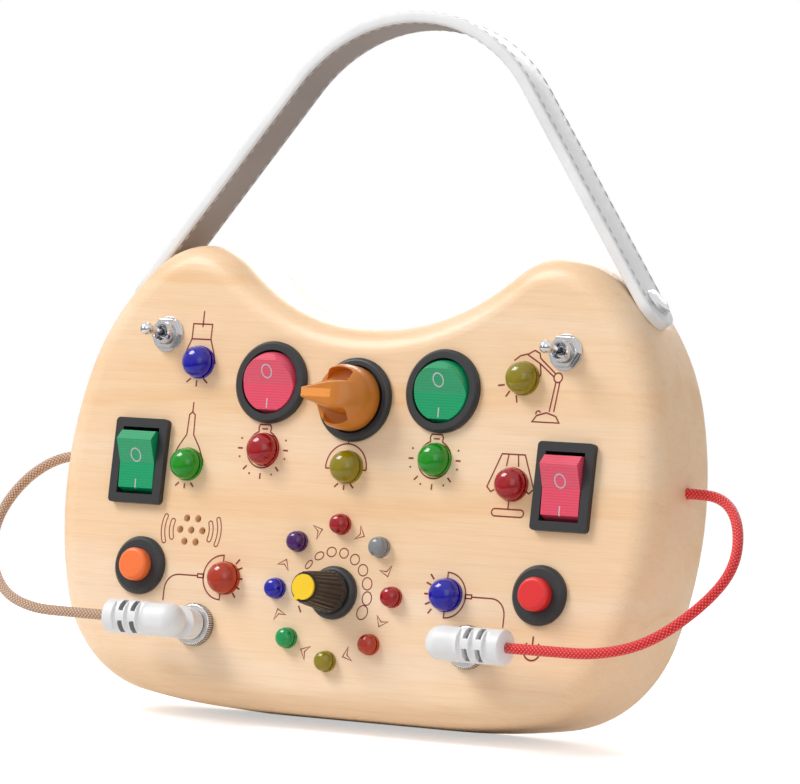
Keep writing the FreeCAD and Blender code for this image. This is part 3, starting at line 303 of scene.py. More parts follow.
@dataclass(frozen=True)
class PlatedMetal(Finish):
    """Brass, turned and nickel plated: bright mirror metal with fine turning and handling marks."""

    mark_mm: float = 0.5

    def dress(self, graph: Shading) -> None:
        """Vary the gloss with short marks, so that reflections are not perfectly clean."""
        fine = 1 / (self.mark_mm * MM)
        graph.gloss(graph.noise((fine, 150.0, fine), Detail=3.0), self.roughness * 0.6, self.roughness * 1.6)


@dataclass(frozen=True)
class KnurledNut(PlatedMetal):
    """Nickel plated ring nut with straight knurling pressed into its rim, with painted shade darkening the gaps between
    the teeth.
    """

    nut_x_mm: float = 44.4
    nut_z_mm: float = 21.8
    rim_mm: float = 5.6
    teeth: float = 60.0

    def dress(self, graph: Shading) -> None:
        """Turn the angle about each nut's own axis into teeth; both nuts share it, because X is folded."""
        x, _, z = graph.parts()
        across = graph.maths("SUBTRACT", graph.maths("ABSOLUTE", x), self.nut_x_mm * MM)
        up = graph.maths("SUBTRACT", z, self.nut_z_mm * MM)
        wave = graph.maths("SINE", graph.maths("MULTIPLY", graph.maths("ARCTAN2", up, across), self.teeth))
        radius = graph.maths("SQRT", graph.maths("ADD", *[graph.maths("POWER", leg, 2.0) for leg in (across, up)]))
        teeth = graph.maths("MULTIPLY", wave, graph.maths("GREATER_THAN", radius, self.rim_mm * MM))
        # Painted shade: dark grey in the gaps between the teeth, and the nut's own colour on the teeth.
        graph.paint(graph.stops(graph.spread(teeth, -1.0), (0.15, "#4A4A4C"), (0.5, self.colour)))
        graph.relief(teeth, 0.15, 0.8)


@dataclass(frozen=True)
class CircuitLaminate(Finish):
    """Glass-fibre laminate under green solder mask, with paler copper tracks showing through."""

    cell_mm: float = 3.0

    def dress(self, graph: Shading) -> None:
        """Draw tracks as the edges of a square cell pattern."""
        cells = graph.cells(self.cell_mm, distance="CHEBYCHEV")
        graph.paint(graph.stops(cells, (0.42, self.colour), (0.47, "#3F9A4A"), (0.52, self.colour)))


@dataclass(frozen=True)
class CellSleeve(Finish):
    """Shrunk PVC sleeve on dry cells: glossy, dark, with one copper-coloured band at the plus end."""

    band: str = "#C08A4A"
    band_from_mm: float = 12.0

    def dress(self, graph: Shading) -> None:
        """Colour the last third of each cell along X."""
        end = graph.maths("GREATER_THAN", graph.parts()[0], self.band_from_mm * MM)
        graph.paint(graph.blend(end, linear(self.colour), linear(self.band)))


@dataclass(frozen=True)
class SunburstPrint(Finish):
    """Plywood panel with a screen-printed sunburst: two matt pastel inks in turn round the cover."""

    ray: str = "#F6C29B"
    rays: float = 24.0
    centre_z_mm: float = 59.4

    def dress(self, graph: Shading) -> None:
        """Turn the angle about the middle of the cover into rays, with the ink's slight mottling."""
        x, _, z = graph.parts()
        angle = graph.maths("ARCTAN2", graph.maths("SUBTRACT", z, self.centre_z_mm * MM), x)
        wave = graph.maths("SINE", graph.maths("MULTIPLY", angle, self.rays))
        inks = graph.blend(graph.spread(wave, -0.05, 0.05), linear(self.colour), linear(self.ray))
        fleck = graph.noise(0.8, Detail=3.0)
        graph.mottle(inks, 0.5, fleck, (0.3, "#F0ECE4"), (0.6, "#FFFFFF"))
        graph.relief(fleck, 0.02, 0.3)


@dataclass(frozen=True)
class HazardPrint(Finish):
    """ABS cover printed with slanting yellow and black bands inside a black edge: satin ink."""

    band: str = "#1C1B1A"
    pitch_mm: float = 15.0
    slant: float = 0.58
    half_width_mm: float = 35.0
    half_height_mm: float = 19.5
    centre_z_mm: float = 59.4
    edge_mm: float = 2.4

    def dress(self, graph: Shading) -> None:
        """Slant the bands at 60 degrees, and put the plain edge over them."""
        x, _, z = graph.parts()
        up = graph.maths("SUBTRACT", z, self.centre_z_mm * MM)
        along = graph.maths("ADD", x, graph.maths("MULTIPLY", up, self.slant))
        wave = graph.maths("SINE", graph.maths("MULTIPLY", along, math.tau / (self.pitch_mm * MM)))
        edges = [graph.maths("GREATER_THAN", graph.maths("ABSOLUTE", part), (half - self.edge_mm) * MM)
                 for part, half in ((x, self.half_width_mm), (up, self.half_height_mm))]
        black = graph.maths("MAXIMUM", graph.maths("MAXIMUM", *edges), graph.spread(wave, -0.03, 0.03))
        graph.paint(graph.blend(black, linear(self.colour), linear(self.band)))
        graph.relief(graph.noise(0.5, Detail=2.0), 0.02, 0.3)


@dataclass(frozen=True)
class BraidedSleeve(Finish):
    """Polyester yarn braided over a lead: crossing strands with painted shadows between them, pale flecks on their
    crowns that are painted highlights as well, and a soft sheen.

    The strands are drawn wider than a real braid's, so that they show in the photograph's frame.
    """

    # Colour of the pale flecks on the strands' crowns, which are painted highlights as well.
    fleck: str = "#FFFFFF"
    fleck_and_glint_share: float = 0.0
    strand_mm: float = 1.15
    around: int = 8

    def dress(self, graph: Shading) -> None:
        """Cross two sets of slanting strands. U runs once round the tube, and V is the way along it in metres."""
        u, v, _ = graph.parts(graph.step("UVMap", "UV"))
        turn = graph.maths("MULTIPLY", u, self.around * math.pi)
        along = graph.maths("MULTIPLY", v, math.pi / (self.strand_mm * MM))
        weave = graph.maths("MULTIPLY", *[graph.maths("ABSOLUTE", graph.maths("SINE", graph.maths(way, turn, along)))
                                          for way in ("ADD", "SUBTRACT")])
        # Painted shadow: the yarn's colour is darkened where the weave is low, between the strands.
        tone = graph.stops(weave, (0.0, "#9A9A9A"), (0.35, "#FFFFFF"))
        yarn = graph.blend(0.8, linear(self.colour), tone, "MULTIPLY")
        # Pale flecks on the highest crowns of the strands, where the relief peaks: yarn flecks and painted highlight
        # both.
        flecks_and_glints = graph.maths("GREATER_THAN", weave, 1 - self.fleck_and_glint_share)
        graph.paint(graph.blend(flecks_and_glints, yarn, linear(self.fleck)))
        graph.relief(weave, 0.18, 0.7)


@dataclass(frozen=True)
class GrainedLeather(Finish):
    """PU leather, embossed with a fine pebble grain: matt with a faint gloss on top of the pebbles."""

    pebble_mm: float = 0.7
    drift_mm: float = 14.0

    def dress(self, graph: Shading) -> None:
        """Emboss the pebbles, and let their tone drift a little along the strap."""
        drift = graph.noise(self.drift_mm, Detail=3.0)
        graph.mottle(linear(self.colour), 0.8, drift, (0.3, "#F1F0EF"), (0.65, "#FFFFFF"))
        graph.relief(graph.cells(self.pebble_mm), 0.05, 0.3)


@dataclass(frozen=True)
class PrintInk(Finish):
    """Screen ink on wood: matt, a little uneven where the grain takes it up."""

    pore_mm: float = 0.6

    def dress(self, graph: Shading) -> None:
        """Mottle the ink at the size of the wood's pores."""
        pores = graph.noise(self.pore_mm, Detail=2.0)
        graph.mottle(linear(self.colour), 0.7, pores, (0.3, "#E8E4E0"), (0.6, "#FFFFFF"))


PINE = LacqueredPine("lacquered_pine", "#FCD7AE", roughness=0.42, coat=0.12)
BLACK_ABS = MouldedPlastic("black_abs", "#2C2C2E", roughness=0.42)
KNOB_ABS = MouldedPlastic("knob_black_abs", "#17120F", roughness=0.3, coat=0.15)
PINK_PADDLE = RibbedPolycarbonate("pink_polycarbonate", "#F0506C", roughness=0.22, coat=0.3)
GREEN_PADDLE = RibbedPolycarbonate("green_polycarbonate", "#00A468", roughness=0.22, coat=0.3)
ORANGE_GRIP = MouldedPlastic("amber_abs", "#CF7A1C", roughness=0.33, coat=0.25)
ORANGE_CAP = MouldedPlastic("orange_abs", "#FF7A3A", roughness=0.38, coat=0.1)
RED_CAP = MouldedPlastic("red_abs", "#E92A2C", roughness=0.38, coat=0.1)
YELLOW_CAP = MouldedPlastic("yellow_abs", "#FFD21F", roughness=0.35, coat=0.2)
WHITE_PVC = MouldedPlastic("white_pvc", "#EDEDEE", roughness=0.4, grain_mm=0.5)
# Painted shade: grey inside the plug's end-slot windows, where the opening is dark.
SLOT_PAINTED_SHADE = MouldedPlastic("slot_painted_shade_pvc", "#8F9092", roughness=0.6)
NICKEL = PlatedMetal("nickel_plate", "#DADADC", roughness=0.12, metallic=1.0)
KNURLED = KnurledNut("knurled_nickel", "#E2E2E2", roughness=0.2, metallic=1.0)
STEEL = PlatedMetal("spring_steel", "#B9B8B4", roughness=0.3, metallic=1.0)
BLACKENED = PlatedMetal("blackened_steel", "#2A2A2B", roughness=0.35, metallic=1.0)
LAMINATE = CircuitLaminate("green_laminate", "#0E6B34", roughness=0.4)
SLEEVE = CellSleeve("cell_sleeve", "#26303A", roughness=0.25, coat=0.4)
SUNBURST = SunburstPrint("sunburst_print", "#EFE2BF", roughness=0.55)
HAZARD = HazardPrint("hazard_print", "#F5C518", roughness=0.4)
TAN_BRAID = BraidedSleeve("tan_braid", "#C69C7E", roughness=0.7, sheen=0.3, fleck="#E8CDB8", fleck_and_glint_share=0.25)
RED_BRAID = BraidedSleeve("red_braid", "#F5181C", roughness=0.6, sheen=0.3, fleck="#FF9A94", fleck_and_glint_share=0.12)
STRAP_TOP = GrainedLeather("white_leather", "#F1F1F2", roughness=0.5)
STRAP_LINING = GrainedLeather("taupe_lining", "#9A908C", roughness=0.62)
THREAD = MouldedPlastic("waxed_thread", "#C3C3C8", roughness=0.6, grain_mm=0.25)
LINE_INK = PrintInk("red_brown_ink", "#8E2B20", roughness=0.6)
MARK_INK = PrintInk("pale_grey_ink", "#C9C9D2", roughness=0.45)
INLAY = MouldedPlastic("pale_orange_abs", "#F59B48", roughness=0.35)
# Painted shade: dark crosses laid on the back screws' heads where their cross recesses are.
RECESS_SHADE = PlatedMetal("recess_painted_shade_steel", "#3A3A3C", roughness=0.5, metallic=1.0)
DIODE = Finish("clear_epoxy", "#EDEBDC", roughness=0.2, coat=0.5)
LENSES = {tint: TintedLens(f"{tint}_acrylic", code, roughness=rough, ior=1.49, coat=coat, transmission=clear)
          for tint, code, rough, coat, clear in (
              ("blue", "#1408C0", 0.06, 0.25, 0.3), ("red", "#C00818", 0.06, 0.25, 0.3),
              ("green", "#08A808", 0.06, 0.25, 0.3), ("olive", "#B4A000", 0.06, 0.25, 0.4),
              ("orange", "#D03808", 0.06, 0.25, 0.3), ("purple", "#560A74", 0.06, 0.25, 0.3),
              ("jade", "#00B058", 0.06, 0.25, 0.3), ("clear", "#C9CCD0", 0.05, 0.3, 0.6))}


class Model:
    """Small services shared by the sub-assemblies: making mesh pieces and dressing CAD nodes."""

    @staticmethod
    def piece(name: str, bm: bmesh.types.BMesh, finishes: Sequence[Finish], smooth: bool = True) -> bpy.types.Object:
        """Turn a bmesh in millimetres into an object in metres.

        Args:
            name: Name of the piece.
            bm: The mesh, which is freed.
            finishes: Finishes of its material slots, in order.
            smooth: Whether its faces are shaded smooth.

        Returns:
            The new object, linked to the scene.
        """
        bmesh.ops.scale(bm, vec=(MM, MM, MM), verts=bm.verts)
        mesh = bpy.data.meshes.new(name)
        bm.to_mesh(mesh)
        bm.free()
        mesh.polygons.foreach_set("use_smooth", [smooth] * len(mesh.polygons))
        made = bpy.data.objects.new(name, mesh)
        bpy.context.scene.collection.objects.link(made)
        for finish in finishes:
            made.data.materials.append(finish.material())
        LOG.info("piece %s: %d faces", name, len(mesh.polygons))
        return made

    @staticmethod
    def dress(node: str, finish: Finish, edge_mm: float = 0.0) -> None:
        """Give a CAD node its finish, and break its sharp edges.

        Args:
            node: Name of the CAD node.
            finish: The finish it gets.
            edge_mm: Width of the broken edge, or 0 for none.
        """
        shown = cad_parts[node]
        shown.data.materials.clear()
        shown.data.materials.append(finish.material())
        if edge_mm:
            weld = shown.modifiers.new("join_faces", "WELD")
            weld.merge_threshold = 0.001 * MM
            edge = shown.modifiers.new("broken_edge", "BEVEL")
            edge.width = edge_mm * MM
            edge.segments = 2
            edge.limit_method = "ANGLE"
            edge.angle_limit = math.radians(38)
            edge.harden_normals = True
            edge.use_clamp_overlap = True
        LOG.info("node %s wears %s", node, finish.name)

    @staticmethod
    def surface(node: str) -> BVHTree:
        """Give the faces of a CAD node as a tree that rays can be cast at, in millimetres."""
        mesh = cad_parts[node].data
        corners = [tuple(v.co / MM) for v in mesh.vertices]
        return BVHTree.FromPolygons(corners, [tuple(p.vertices) for p in mesh.polygons])


def arc(centre: Flat, radius: float, start: float, end: float, steps: int = 24) -> list[Flat]:
    """Give points on an arc.

    Args:
        centre: Its centre.
        radius: Its radius.
        start: First angle in degrees, from the first axis towards the second.
        end: Last angle in degrees.
        steps: Number of chords.

    Returns:
        The points, ends included.
    """
    angles = [math.radians(start + (end - start) * i / steps) for i in range(steps + 1)]
    return [(centre[0] + radius * math.cos(a), centre[1] + radius * math.sin(a)) for a in angles]


def mirrored(points: Sequence[Flat], middle: float) -> list[Flat]:
    """Mirror points about a level of the first axis."""
    return [(2 * middle - x, z) for x, z in points]


class FlatArt:
    """Flat print gathered into one mesh: lines of a set width and filled outlines, on a face or a surface."""

    def __init__(self, level: float, face: Face, onto: Optional[BVHTree] = None, lift: float = 0.04,
                 rise: float = 0.0) -> None:
        """Start an empty print.

        Args:
            level: Y of the printed face, in millimetres.
            face: The way it looks.
            onto: A surface that the print is laid on, or None for the flat face.
            lift: Height of the print over its surface.
            rise: Height of the drawing's own zero level over the foot.
        """
        self.rise = rise
        self.bm = bmesh.new()
        self.level = level
        self.face = face
        self.onto = onto
        self.lift = lift

    def spot(self, point: Flat) -> Vector:
        """Give the place in space of a point of the print."""
        x, z = point[0], point[1] + self.rise
        y = self.level
        if self.onto is not None:
            out = Vector((x, self.face.value * 60.0, z))
            hit = self.onto.ray_cast(out, Vector((0, -self.face.value, 0)))[0]
            y = hit.y if hit is not None else y
        return Vector((x, y + self.face.value * self.lift, z))

    def fill(self, outline: Sequence[Flat], slot: int = 0) -> None:
        """Add a filled outline whose points run counterclockwise as X and Z show them."""
        ring = [self.bm.verts.new(self.spot(p)) for p in outline]
        if self.face is Face.BACK:
            ring.reverse()
        made = self.bm.faces.new(ring)
        made.material_index = slot

    def line(self, points: Sequence[Flat], width: float = 0.42, closed: bool = False, slot: int = 0) -> None:
        """Add a line of constant width.

        Args:
            points: The points it passes.
            width: Its width.
            closed: Whether it returns to its first point.
            slot: Material slot of the line.
        """
        path = [Vector(p) for p in points]
        count = len(path)
        pairs = []
        for i, here in enumerate(path):
            before = path[i - 1] if (i or closed) else None
            after = path[(i + 1) % count] if (i < count - 1 or closed) else None
            into = (here - before).normalized() if before is not None else None
            away = (after - here).normalized() if after is not None else None
            way = into if away is None else away if into is None else (into + away)
            way = way.normalized() if way.length > 1e-6 else into
            side = Vector((-way.y, way.x))
            reach = width / 2
            if into is not None and away is not None:
                reach /= max(0.5, side.dot(Vector((-into.y, into.x))))
            pairs.append([self.bm.verts.new(self.spot(tuple(here + side * reach * s))) for s in (1, -1)])
        for i in range(count if closed else count - 1):
            (a, b), (c, d) = pairs[i], pairs[(i + 1) % count]
            corners = [a, b, d, c]
            if self.face is Face.BACK:
                corners.reverse()
            self.bm.faces.new(corners).material_index = slot

    def dot(self, centre: Flat, radius: float, slot: int = 0, wide: float = 1.0) -> None:
        """Add a filled round spot, stretched along X by wide."""
        self.fill([(centre[0] + (x - centre[0]) * wide, z) for x, z in arc(centre, radius, 0, 342, 19)], slot)

    def make(self, name: str, finishes: Sequence[Finish], body: str, slot: str) -> bpy.types.Object:
        """Turn the print into a piece that rides on a body."""
        made = Model.piece(name, self.bm, finishes, smooth=False)
        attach(made, body)
        return made


@dataclass
class FacePrint:
    """Line art printed beside the lamps: lamp shades, bulbs, rays, sound waves and the dial ring."""

    face_level: float = -15.0
    ink_width: float = 0.42
    ray_width: float = 0.5
    rise: float = 2.4

    def build(self) -> None:
        """Print every motif on the front face."""
        self.art = FlatArt(self.face_level, Face.FRONT, lift=0.03, rise=self.rise)
        self.motif(-53.4, lines=[[(0, 107.4), (0, 102.8)]],
                   loops=[[(-3.2, 103.7), (3.2, 103.7), (3.2, 99.4), (-3.2, 99.4)]],
                   pairs=[[(3.2, 99.4), (4.6, 95.9), (5.5, 92.8), (4.2, 92.7)]],
                   rays=[(0, 87.8, 0, 86.0), (-2.0, 88.3, -3.4, 87.1), (2.1, 88.3, 3.6, 87.1)])
        self.motif(-53.5, lines=[[(0, 81.6), (0, 78.8)],
                                 [(1.15, 72.4), (0.95, 78.0), (0, 78.8), (-0.95, 78.0), (-1.15, 72.4)]],
                   pairs=[[(1.15, 72.4), (3.5, 68.9), (5.2, 65.3), (5.3, 64.0), (4.4, 63.0)]],
                   rays=[(0, 58.6, 0, 57.2), (-1.9, 58.9, -3.1, 57.8), (1.9, 58.9, 3.0, 57.8)])
        for middle in (-28.7, 27.2):
            self.bulb((middle, 69.5))
        self.motif(-0.9, 65.8, lines=[[(5.0, -0.4), (6.5, -0.4), *arc((0, 0), 6.6, 2, 178), (-6.5, -0.4), (-5.0, -0.4)],
                                      [(0, 6.6), (0, 8.0)]],
                   rays=[(0, -4.7, 0, -6.2), (-1.9, -4.4, -3.1, -5.5), (1.9, -4.4, 3.1, -5.5)])
        self.desk_lamp()
        self.motif(51.9, pairs=[[(0, 72.2), (3.6, 72.2), (7.3, 63.1), (6.0, 61.8), (4.9, 62.4)],
                                [(1.5, 72.0), (1.9, 68.9)]], lines=[[(0, 60.3), (0, 57.4)]],
                   loops=[[*arc((4.0, 56.3), 1.0, -90, 90, 8), *arc((-4.0, 56.3), 1.0, 90, 270, 8)]])
        self.sound_waves((-49.5, 45.65))
        for side, centre in ((Side.LEFT, (-37.5, 33.1)), (Side.RIGHT, (35.5, 33.0))):
            self.bracket_lamp(side, centre)
        self.art.line(arc((64.05, 19.9), 2.6, 130, 410, 30), self.ray_width)
        self.motif(64.05, 19.9, rays=[(0, 3.9, 0, 1.6)])
        self.dial_ring((-0.7, 31.25))
        self.art.make("face_print", [LINE_INK], "root", "wood")

    def motif(self, x: float, z: float = 0.0, lines: Sequence[Stroke] = (), loops: Sequence[Stroke] = (),
              pairs: Sequence[Stroke] = (), rays: Sequence[Ray] = ()) -> None:
        """Draw one motif from strokes whose points are given from its own middle.

        Args:
            x: The middle's X.
            z: The middle's height.
            lines: Open lines.
            loops: Closed lines.
            pairs: Open lines that are drawn with their mirror images.
            rays: Short strokes of light, each as both ends' places.
        """
        both = [stroke for line in pairs for stroke in (line, [(-across, up) for across, up in line])]
        for strokes, width, closed in (([*lines, *both], self.ink_width, False), (loops, self.ink_width, True),
                                       ([(ray[:2], ray[2:]) for ray in rays], self.ray_width, False)):
            for stroke in strokes:
                self.art.line([(x + across, z + up) for across, up in stroke], width, closed)

    def bulb(self, centre: Flat) -> None:
        """Draw a light bulb round a lamp, with dashes and dots about it."""
        self.motif(*centre, lines=[[(-0.95, 5.7), (0.95, 5.7)]],
                   loops=[[*arc((0, 0), 5.2, 112, 428, 40), (1.95, 5.4), (2.1, 6.0), (1.65, 6.9), (-1.65, 6.9),
                           (-2.1, 6.0), (-1.95, 5.4)]])
        for angle in (0, 180, 225, 270, 315):
            self.art.line([arc(centre, reach, angle, angle, 1)[0] for reach in (6.7, 8.3)], self.ray_width)
        for angle in (21, 159, -17.5, 197.5, 242, 298):
            self.art.dot(arc(centre, 7.8, angle, angle, 1)[0], 0.3)

    def desk_lamp(self) -> None:
        """Draw the jointed desk lamp beside the upper right lamp."""
        self.motif(0, lines=[[(48.9, 97.6), (50.7, 99.0), (52.8, 99.5), (53.05, 99.3), (57.2, 97.0)],
                             [(53.05, 99.5), (55.0, 100.6), (56.6, 99.9), (57.1, 98.4)],
                             [(57.1, 97.0), (57.6, 94.2), (56.4, 91.9)],
                             [(57.2, 98.4), (62.2, 94.5)], [(57.2, 97.0), (61.7, 93.7)],
                             [(62.5, 92.2), (61.4, 84.2)], [(63.7, 92.2), (62.8, 84.2)],
                             arc((58.05, 83.6), 0.7, 20, 200, 8)],
                   loops=[arc((63.05, 93.5), 1.3, 0, 345, 23),
                          [(56.4, 81.3), (57.6, 83.0), (60.6, 83.9), (63.6, 83.0), (64.8, 81.3)]],
                   rays=[(44.6, 90.6, 46.7, 90.9), (47.4, 87.7, 48.5, 89.3), (50.6, 88.2, 51.1, 86.2)])

    def sound_waves(self, centre: Flat) -> None:
        """Draw two rounded sound waves on each side of the loudspeaker's holes."""
        for radius, half, reach in ((6.7, 0.65, 2.3), (9.45, 0.6, 3.5)):
            spread = math.degrees(math.asin(reach / radius))
            for turn in (0, 180):
                outer = arc(centre, radius + half, turn - spread, turn + spread, 12)
                inner = arc(centre, radius - half, turn + spread, turn - spread, 12)
                caps = []
                for angle, flip in ((turn + spread, 0), (turn - spread, 180)):
                    middle = arc(centre, radius, angle, angle, 1)[0]
                    caps.append(arc(middle, half, angle + flip, angle + flip + 180, 6)[1:-1])
                self.art.line([*outer, *caps[0], *inner, *caps[1]], width=0.32, closed=True)

    def bracket_lamp(self, side: Side, centre: Flat) -> None:
        """Draw the wall lamp round a lower lamp, with its lead down to the socket.

        Args:
            side: The side whose cord it belongs to. The left lamp's shade opens to the right.
            centre: The lamp's place.
        """
        s = side.value
        shade = [(s * across, up) for up, across in arc((0, 0), 6.2, 0, 180, 20)]
        bend = [(s * across, up) for up, across in arc((-4.4, 14.4), 4.4, 0, 90, 6)]
        self.motif(*centre, lines=[[(0, 4.5), *shade, (0, -4.1)], [(s * 8.1, 0), *bend, (s * 18.8, -7.6)]],
                   loops=[[(s * across, up) for across, up in ((6.1, 0.55), (8.1, 0.55), (8.1, -0.45), (6.1, -0.45))]],
                   rays=[(-s * near, low, -s * far, high) for near, low, far, high in (
                       (4.2, 4.0, 5.4, 5.4), (4.8, 2.4, 6.5, 3.1), (5.1, 0, 6.9, 0), (4.8, -2.2, 6.3, -2.9),
                       (4.1, -4.0, 5.1, -5.3))])

    def dial_ring(self, centre: Flat) -> None:
        """Draw the growing ovals and the outer darts round the dial."""
        here = Vector(centre)
        for index in range(8):
            angle = math.radians(90 - 22.5 - 45 * index)
            out = Vector((math.cos(angle), math.sin(angle)))
            way = Vector((out.y, -out.x))
            wing = here + out * 18.0 - way * 1.0
            self.art.line([tuple(wing + way * 2.45), tuple(wing + out * 2.0), tuple(wing + way * 1.0),
                           tuple(wing - out * 2.0)], width=0.32, closed=True)
        halves = ((1.4, 0.75), (1.5, 1.0), (1.5, 1.3), (1.4, 1.35), (1.45, 1.45), (1.6, 1.5), (1.7, 1.55),
                  (1.85, 1.5), (2.0, 1.65))
        for index, (wide, tall) in enumerate(halves):
            angle = math.radians(90 - (-50 + 20.6 * index))
            out = Vector((math.cos(angle), math.sin(angle)))
            way = Vector((out.y, -out.x))
            middle = here + out * 11.3
            ring = [tuple(middle + way * wide * math.cos(t) + out * tall * math.sin(t))
                    for t in [math.tau * k / 18 for k in range(18)]]
            self.art.line(ring, width=0.32, closed=True)
        self.motif(0, rays=[(-11.2, 27.0, -10.25, 25.2)])


@dataclass
class BackPrint:
    """Generic shapes printed round the sunburst on the back panel: stars, drops, rings, moons and blossoms."""

    panel_level: float = 15.0
    size: float = 5.6
    rise: float = 2.4

    def build(self) -> None:
        """Print one shape at each place along the panel's border, both sides alike in place but not in kind."""
        self.art = FlatArt(self.panel_level, Face.BACK, lift=0.03, rise=self.rise)
        half = [(16.5, 87.0), (31.5, 93.5), (45.0, 102.5), (61.0, 98.5), (70.5, 85.5), (76.0, 71.0), (77.0, 56.0),
                (73.0, 41.5), (64.5, 28.5), (50.0, 20.5), (33.0, 17.5), (16.5, 16.2)]
        places = [(0.0, 85.0), *half, (0.0, 16.0), *mirrored(half, 0.0)[::-1]]
        inks = [PrintInk(name, code, roughness=0.5) for name, code in (
            ("pink_ink", "#E8467C"), ("blue_ink", "#2A7FD0"), ("orange_ink", "#F3872A"), ("green_ink", "#3DAA4A"),
            ("violet_ink", "#8A4FB5"), ("turquoise_ink", "#22B5B0"), ("yellow_ink", "#F5C92E"))]
        half_pi = math.pi / 2
        polar: dict[int, tuple[int, Callable[[float], float], float]] = {
            0: (50, lambda a: 0.74 + 0.26 * math.cos(5 * (a - half_pi)), 1.5),
            2: (60, lambda a: 0.78 + 0.18 * math.cos(6 * a), 1.7),
            3: (40, lambda a: 0.7 + 0.4 * max(0.0, math.sin(a)) ** 7, 0.0),
            4: (4, lambda a: 0.9, 1.3),
            6: (45, lambda a: 0.68 + 0.24 * math.cos(3 * (a - half_pi)), 0.0)}
        drawn = {1: self.ring, 5: self.moon, 7: self.wave}
        for index, place in enumerate(places):
            kind, slot = (index * 3) % 8, (index * 2) % len(inks)
            if kind in drawn:
                drawn[kind](place, slot)
            else:
                self.polar(place, slot, *polar[kind])
        self.art.make("panel_print", inks, "root", "panel_print")

    def polar(self, centre: Flat, slot: int, steps: int, radius: Callable[[float], float], spot: float) -> None:
        """Fill a star, blossom, drop, diamond or triangle.

        Args:
            centre: Its middle.
            slot: Its ink.
            steps: Points round it.
            radius: Its radius over the angle, as a share of the size.
            spot: Radius of the spot on it, or 0 for none.
        """
        rim = []
        for angle in [math.tau * k / steps for k in range(steps)]:
            reach = self.size * radius(angle)
            rim.append((centre[0] + reach * math.cos(angle), centre[1] + reach * math.sin(angle)))
        self.art.fill(rim, slot)
        if spot:
            self.spot(centre, spot, slot)

    def spot(self, centre: Flat, radius: float, slot: int) -> None:
        """Add a small round spot of the next but two ink, just over the shape."""
        keep = self.art.lift
        self.art.lift = 0.05
        self.art.dot(centre, radius, (slot + 3) % 7)
        self.art.lift = keep

    def ring(self, centre: Flat, slot: int) -> None:
        """Add a ring with a spot."""
        self.art.line(arc(centre, self.size * 0.72, 0, 350, 35), 1.8, True, slot)
        self.spot(centre, 1.3, slot)

    def moon(self, centre: Flat, slot: int) -> None:
        """Add a crescent moon."""
        x, z = centre
        outer = arc(centre, self.size * 0.9, 60, 300, 24)
        inner = arc((x + self.size * 0.42, z), self.size * 0.78, 270, 90, 20)
        self.art.fill([*outer, *inner[1:-1]], slot)

    def wave(self, centre: Flat, slot: int) -> None:
        """Add two short waves, one over the other."""
        for rise in (-1.8, 1.8):
            self.art.line([(centre[0] + t, centre[1] + rise + 1.2 * math.sin(t * 1.3))
                           for t in [-4.8 + 0.6 * k for k in range(17)]], 1.5, False, slot)


def strip_points(path: Sequence[Vector]) -> list[tuple[Vector, Vector, Vector]]:
    """Give each point of a path with its direction and a normal that turns as little as possible.

    Args:
        path: Points of a line in space.

    Returns:
        Point, direction and normal, in order.
    """
    ways = []
    for i in range(len(path)):
        before, after = path[max(i - 1, 0)], path[min(i + 1, len(path) - 1)]
        ways.append((after - before).normalized())
    normal = ways[0].orthogonal().normalized()
    rows = []
    for point, way in zip(path, ways):
        normal = (normal - way * normal.dot(way)).normalized()
        rows.append((point, way, normal))
    return rows


def skin(bm: bmesh.types.BMesh, rings: Sequence[list[bmesh.types.BMVert]]
         ) -> Iterator[tuple[int, int, bmesh.types.BMFace]]:
    """Join neighbouring rings of points by faces.

    Args:
        bm: Mesh that holds the points.
        rings: Rings with the same number of points.

    Yields:
        The ring's index, the place round it and the new face.
    """
    for i, (here, after) in enumerate(zip(rings, rings[1:])):
        for k in range(len(here)):
            j = (k + 1) % len(here)
            yield i, k, bm.faces.new([here[k], here[j], after[j], after[k]])


def tube(bm: bmesh.types.BMesh, path: Sequence[Vector], radii: Sequence[float], sides: int,
         shape: Optional[Callable[[int, Vector], tuple[float, int]]] = None) -> None:
    """Sweep a round section along a path, with UVs once round and metres along.

    Args:
        bm: Mesh that gets the tube.
        path: Its centreline in millimetres.
        radii: Its radius at each point.
        sides: Points round the section.
        shape: Gives the radius taken off and the slot, from the ring's index and the way out. None
            leaves the section round.
    """
    layer = bm.loops.layers.uv.verify()
    rings, runs = [], [0.0]
    for i, (point, way, normal) in enumerate(strip_points(path)):
        other = way.cross(normal)
        if i:
            runs.append(runs[-1] + (point - path[i - 1]).length)
        ring = []
        for k in range(sides):
            angle = math.tau * k / sides
            out = normal * math.cos(angle) + other * math.sin(angle)
            ring.append(bm.verts.new(point + out * (radii[i] - (shape(i, out)[0] if shape else 0.0))))
        rings.append(ring)
    for i, k, made in skin(bm, rings):
        if shape:
            middle = (made.verts[0].co + made.verts[2].co) / 2 - (path[i] + path[i + 1]) / 2
            made.material_index = shape(i, middle.normalized())[1]
        for loop, (turn, run) in zip(made.loops, ((k, i), (k + 1, i), (k + 1, i + 1), (k, i + 1))):
            loop[layer].uv = (turn / sides, runs[run] * MM)
    bm.faces.new(rings[0][::-1])
    bm.faces.new(rings[-1])
    bmesh.ops.recalc_face_normals(bm, faces=bm.faces)


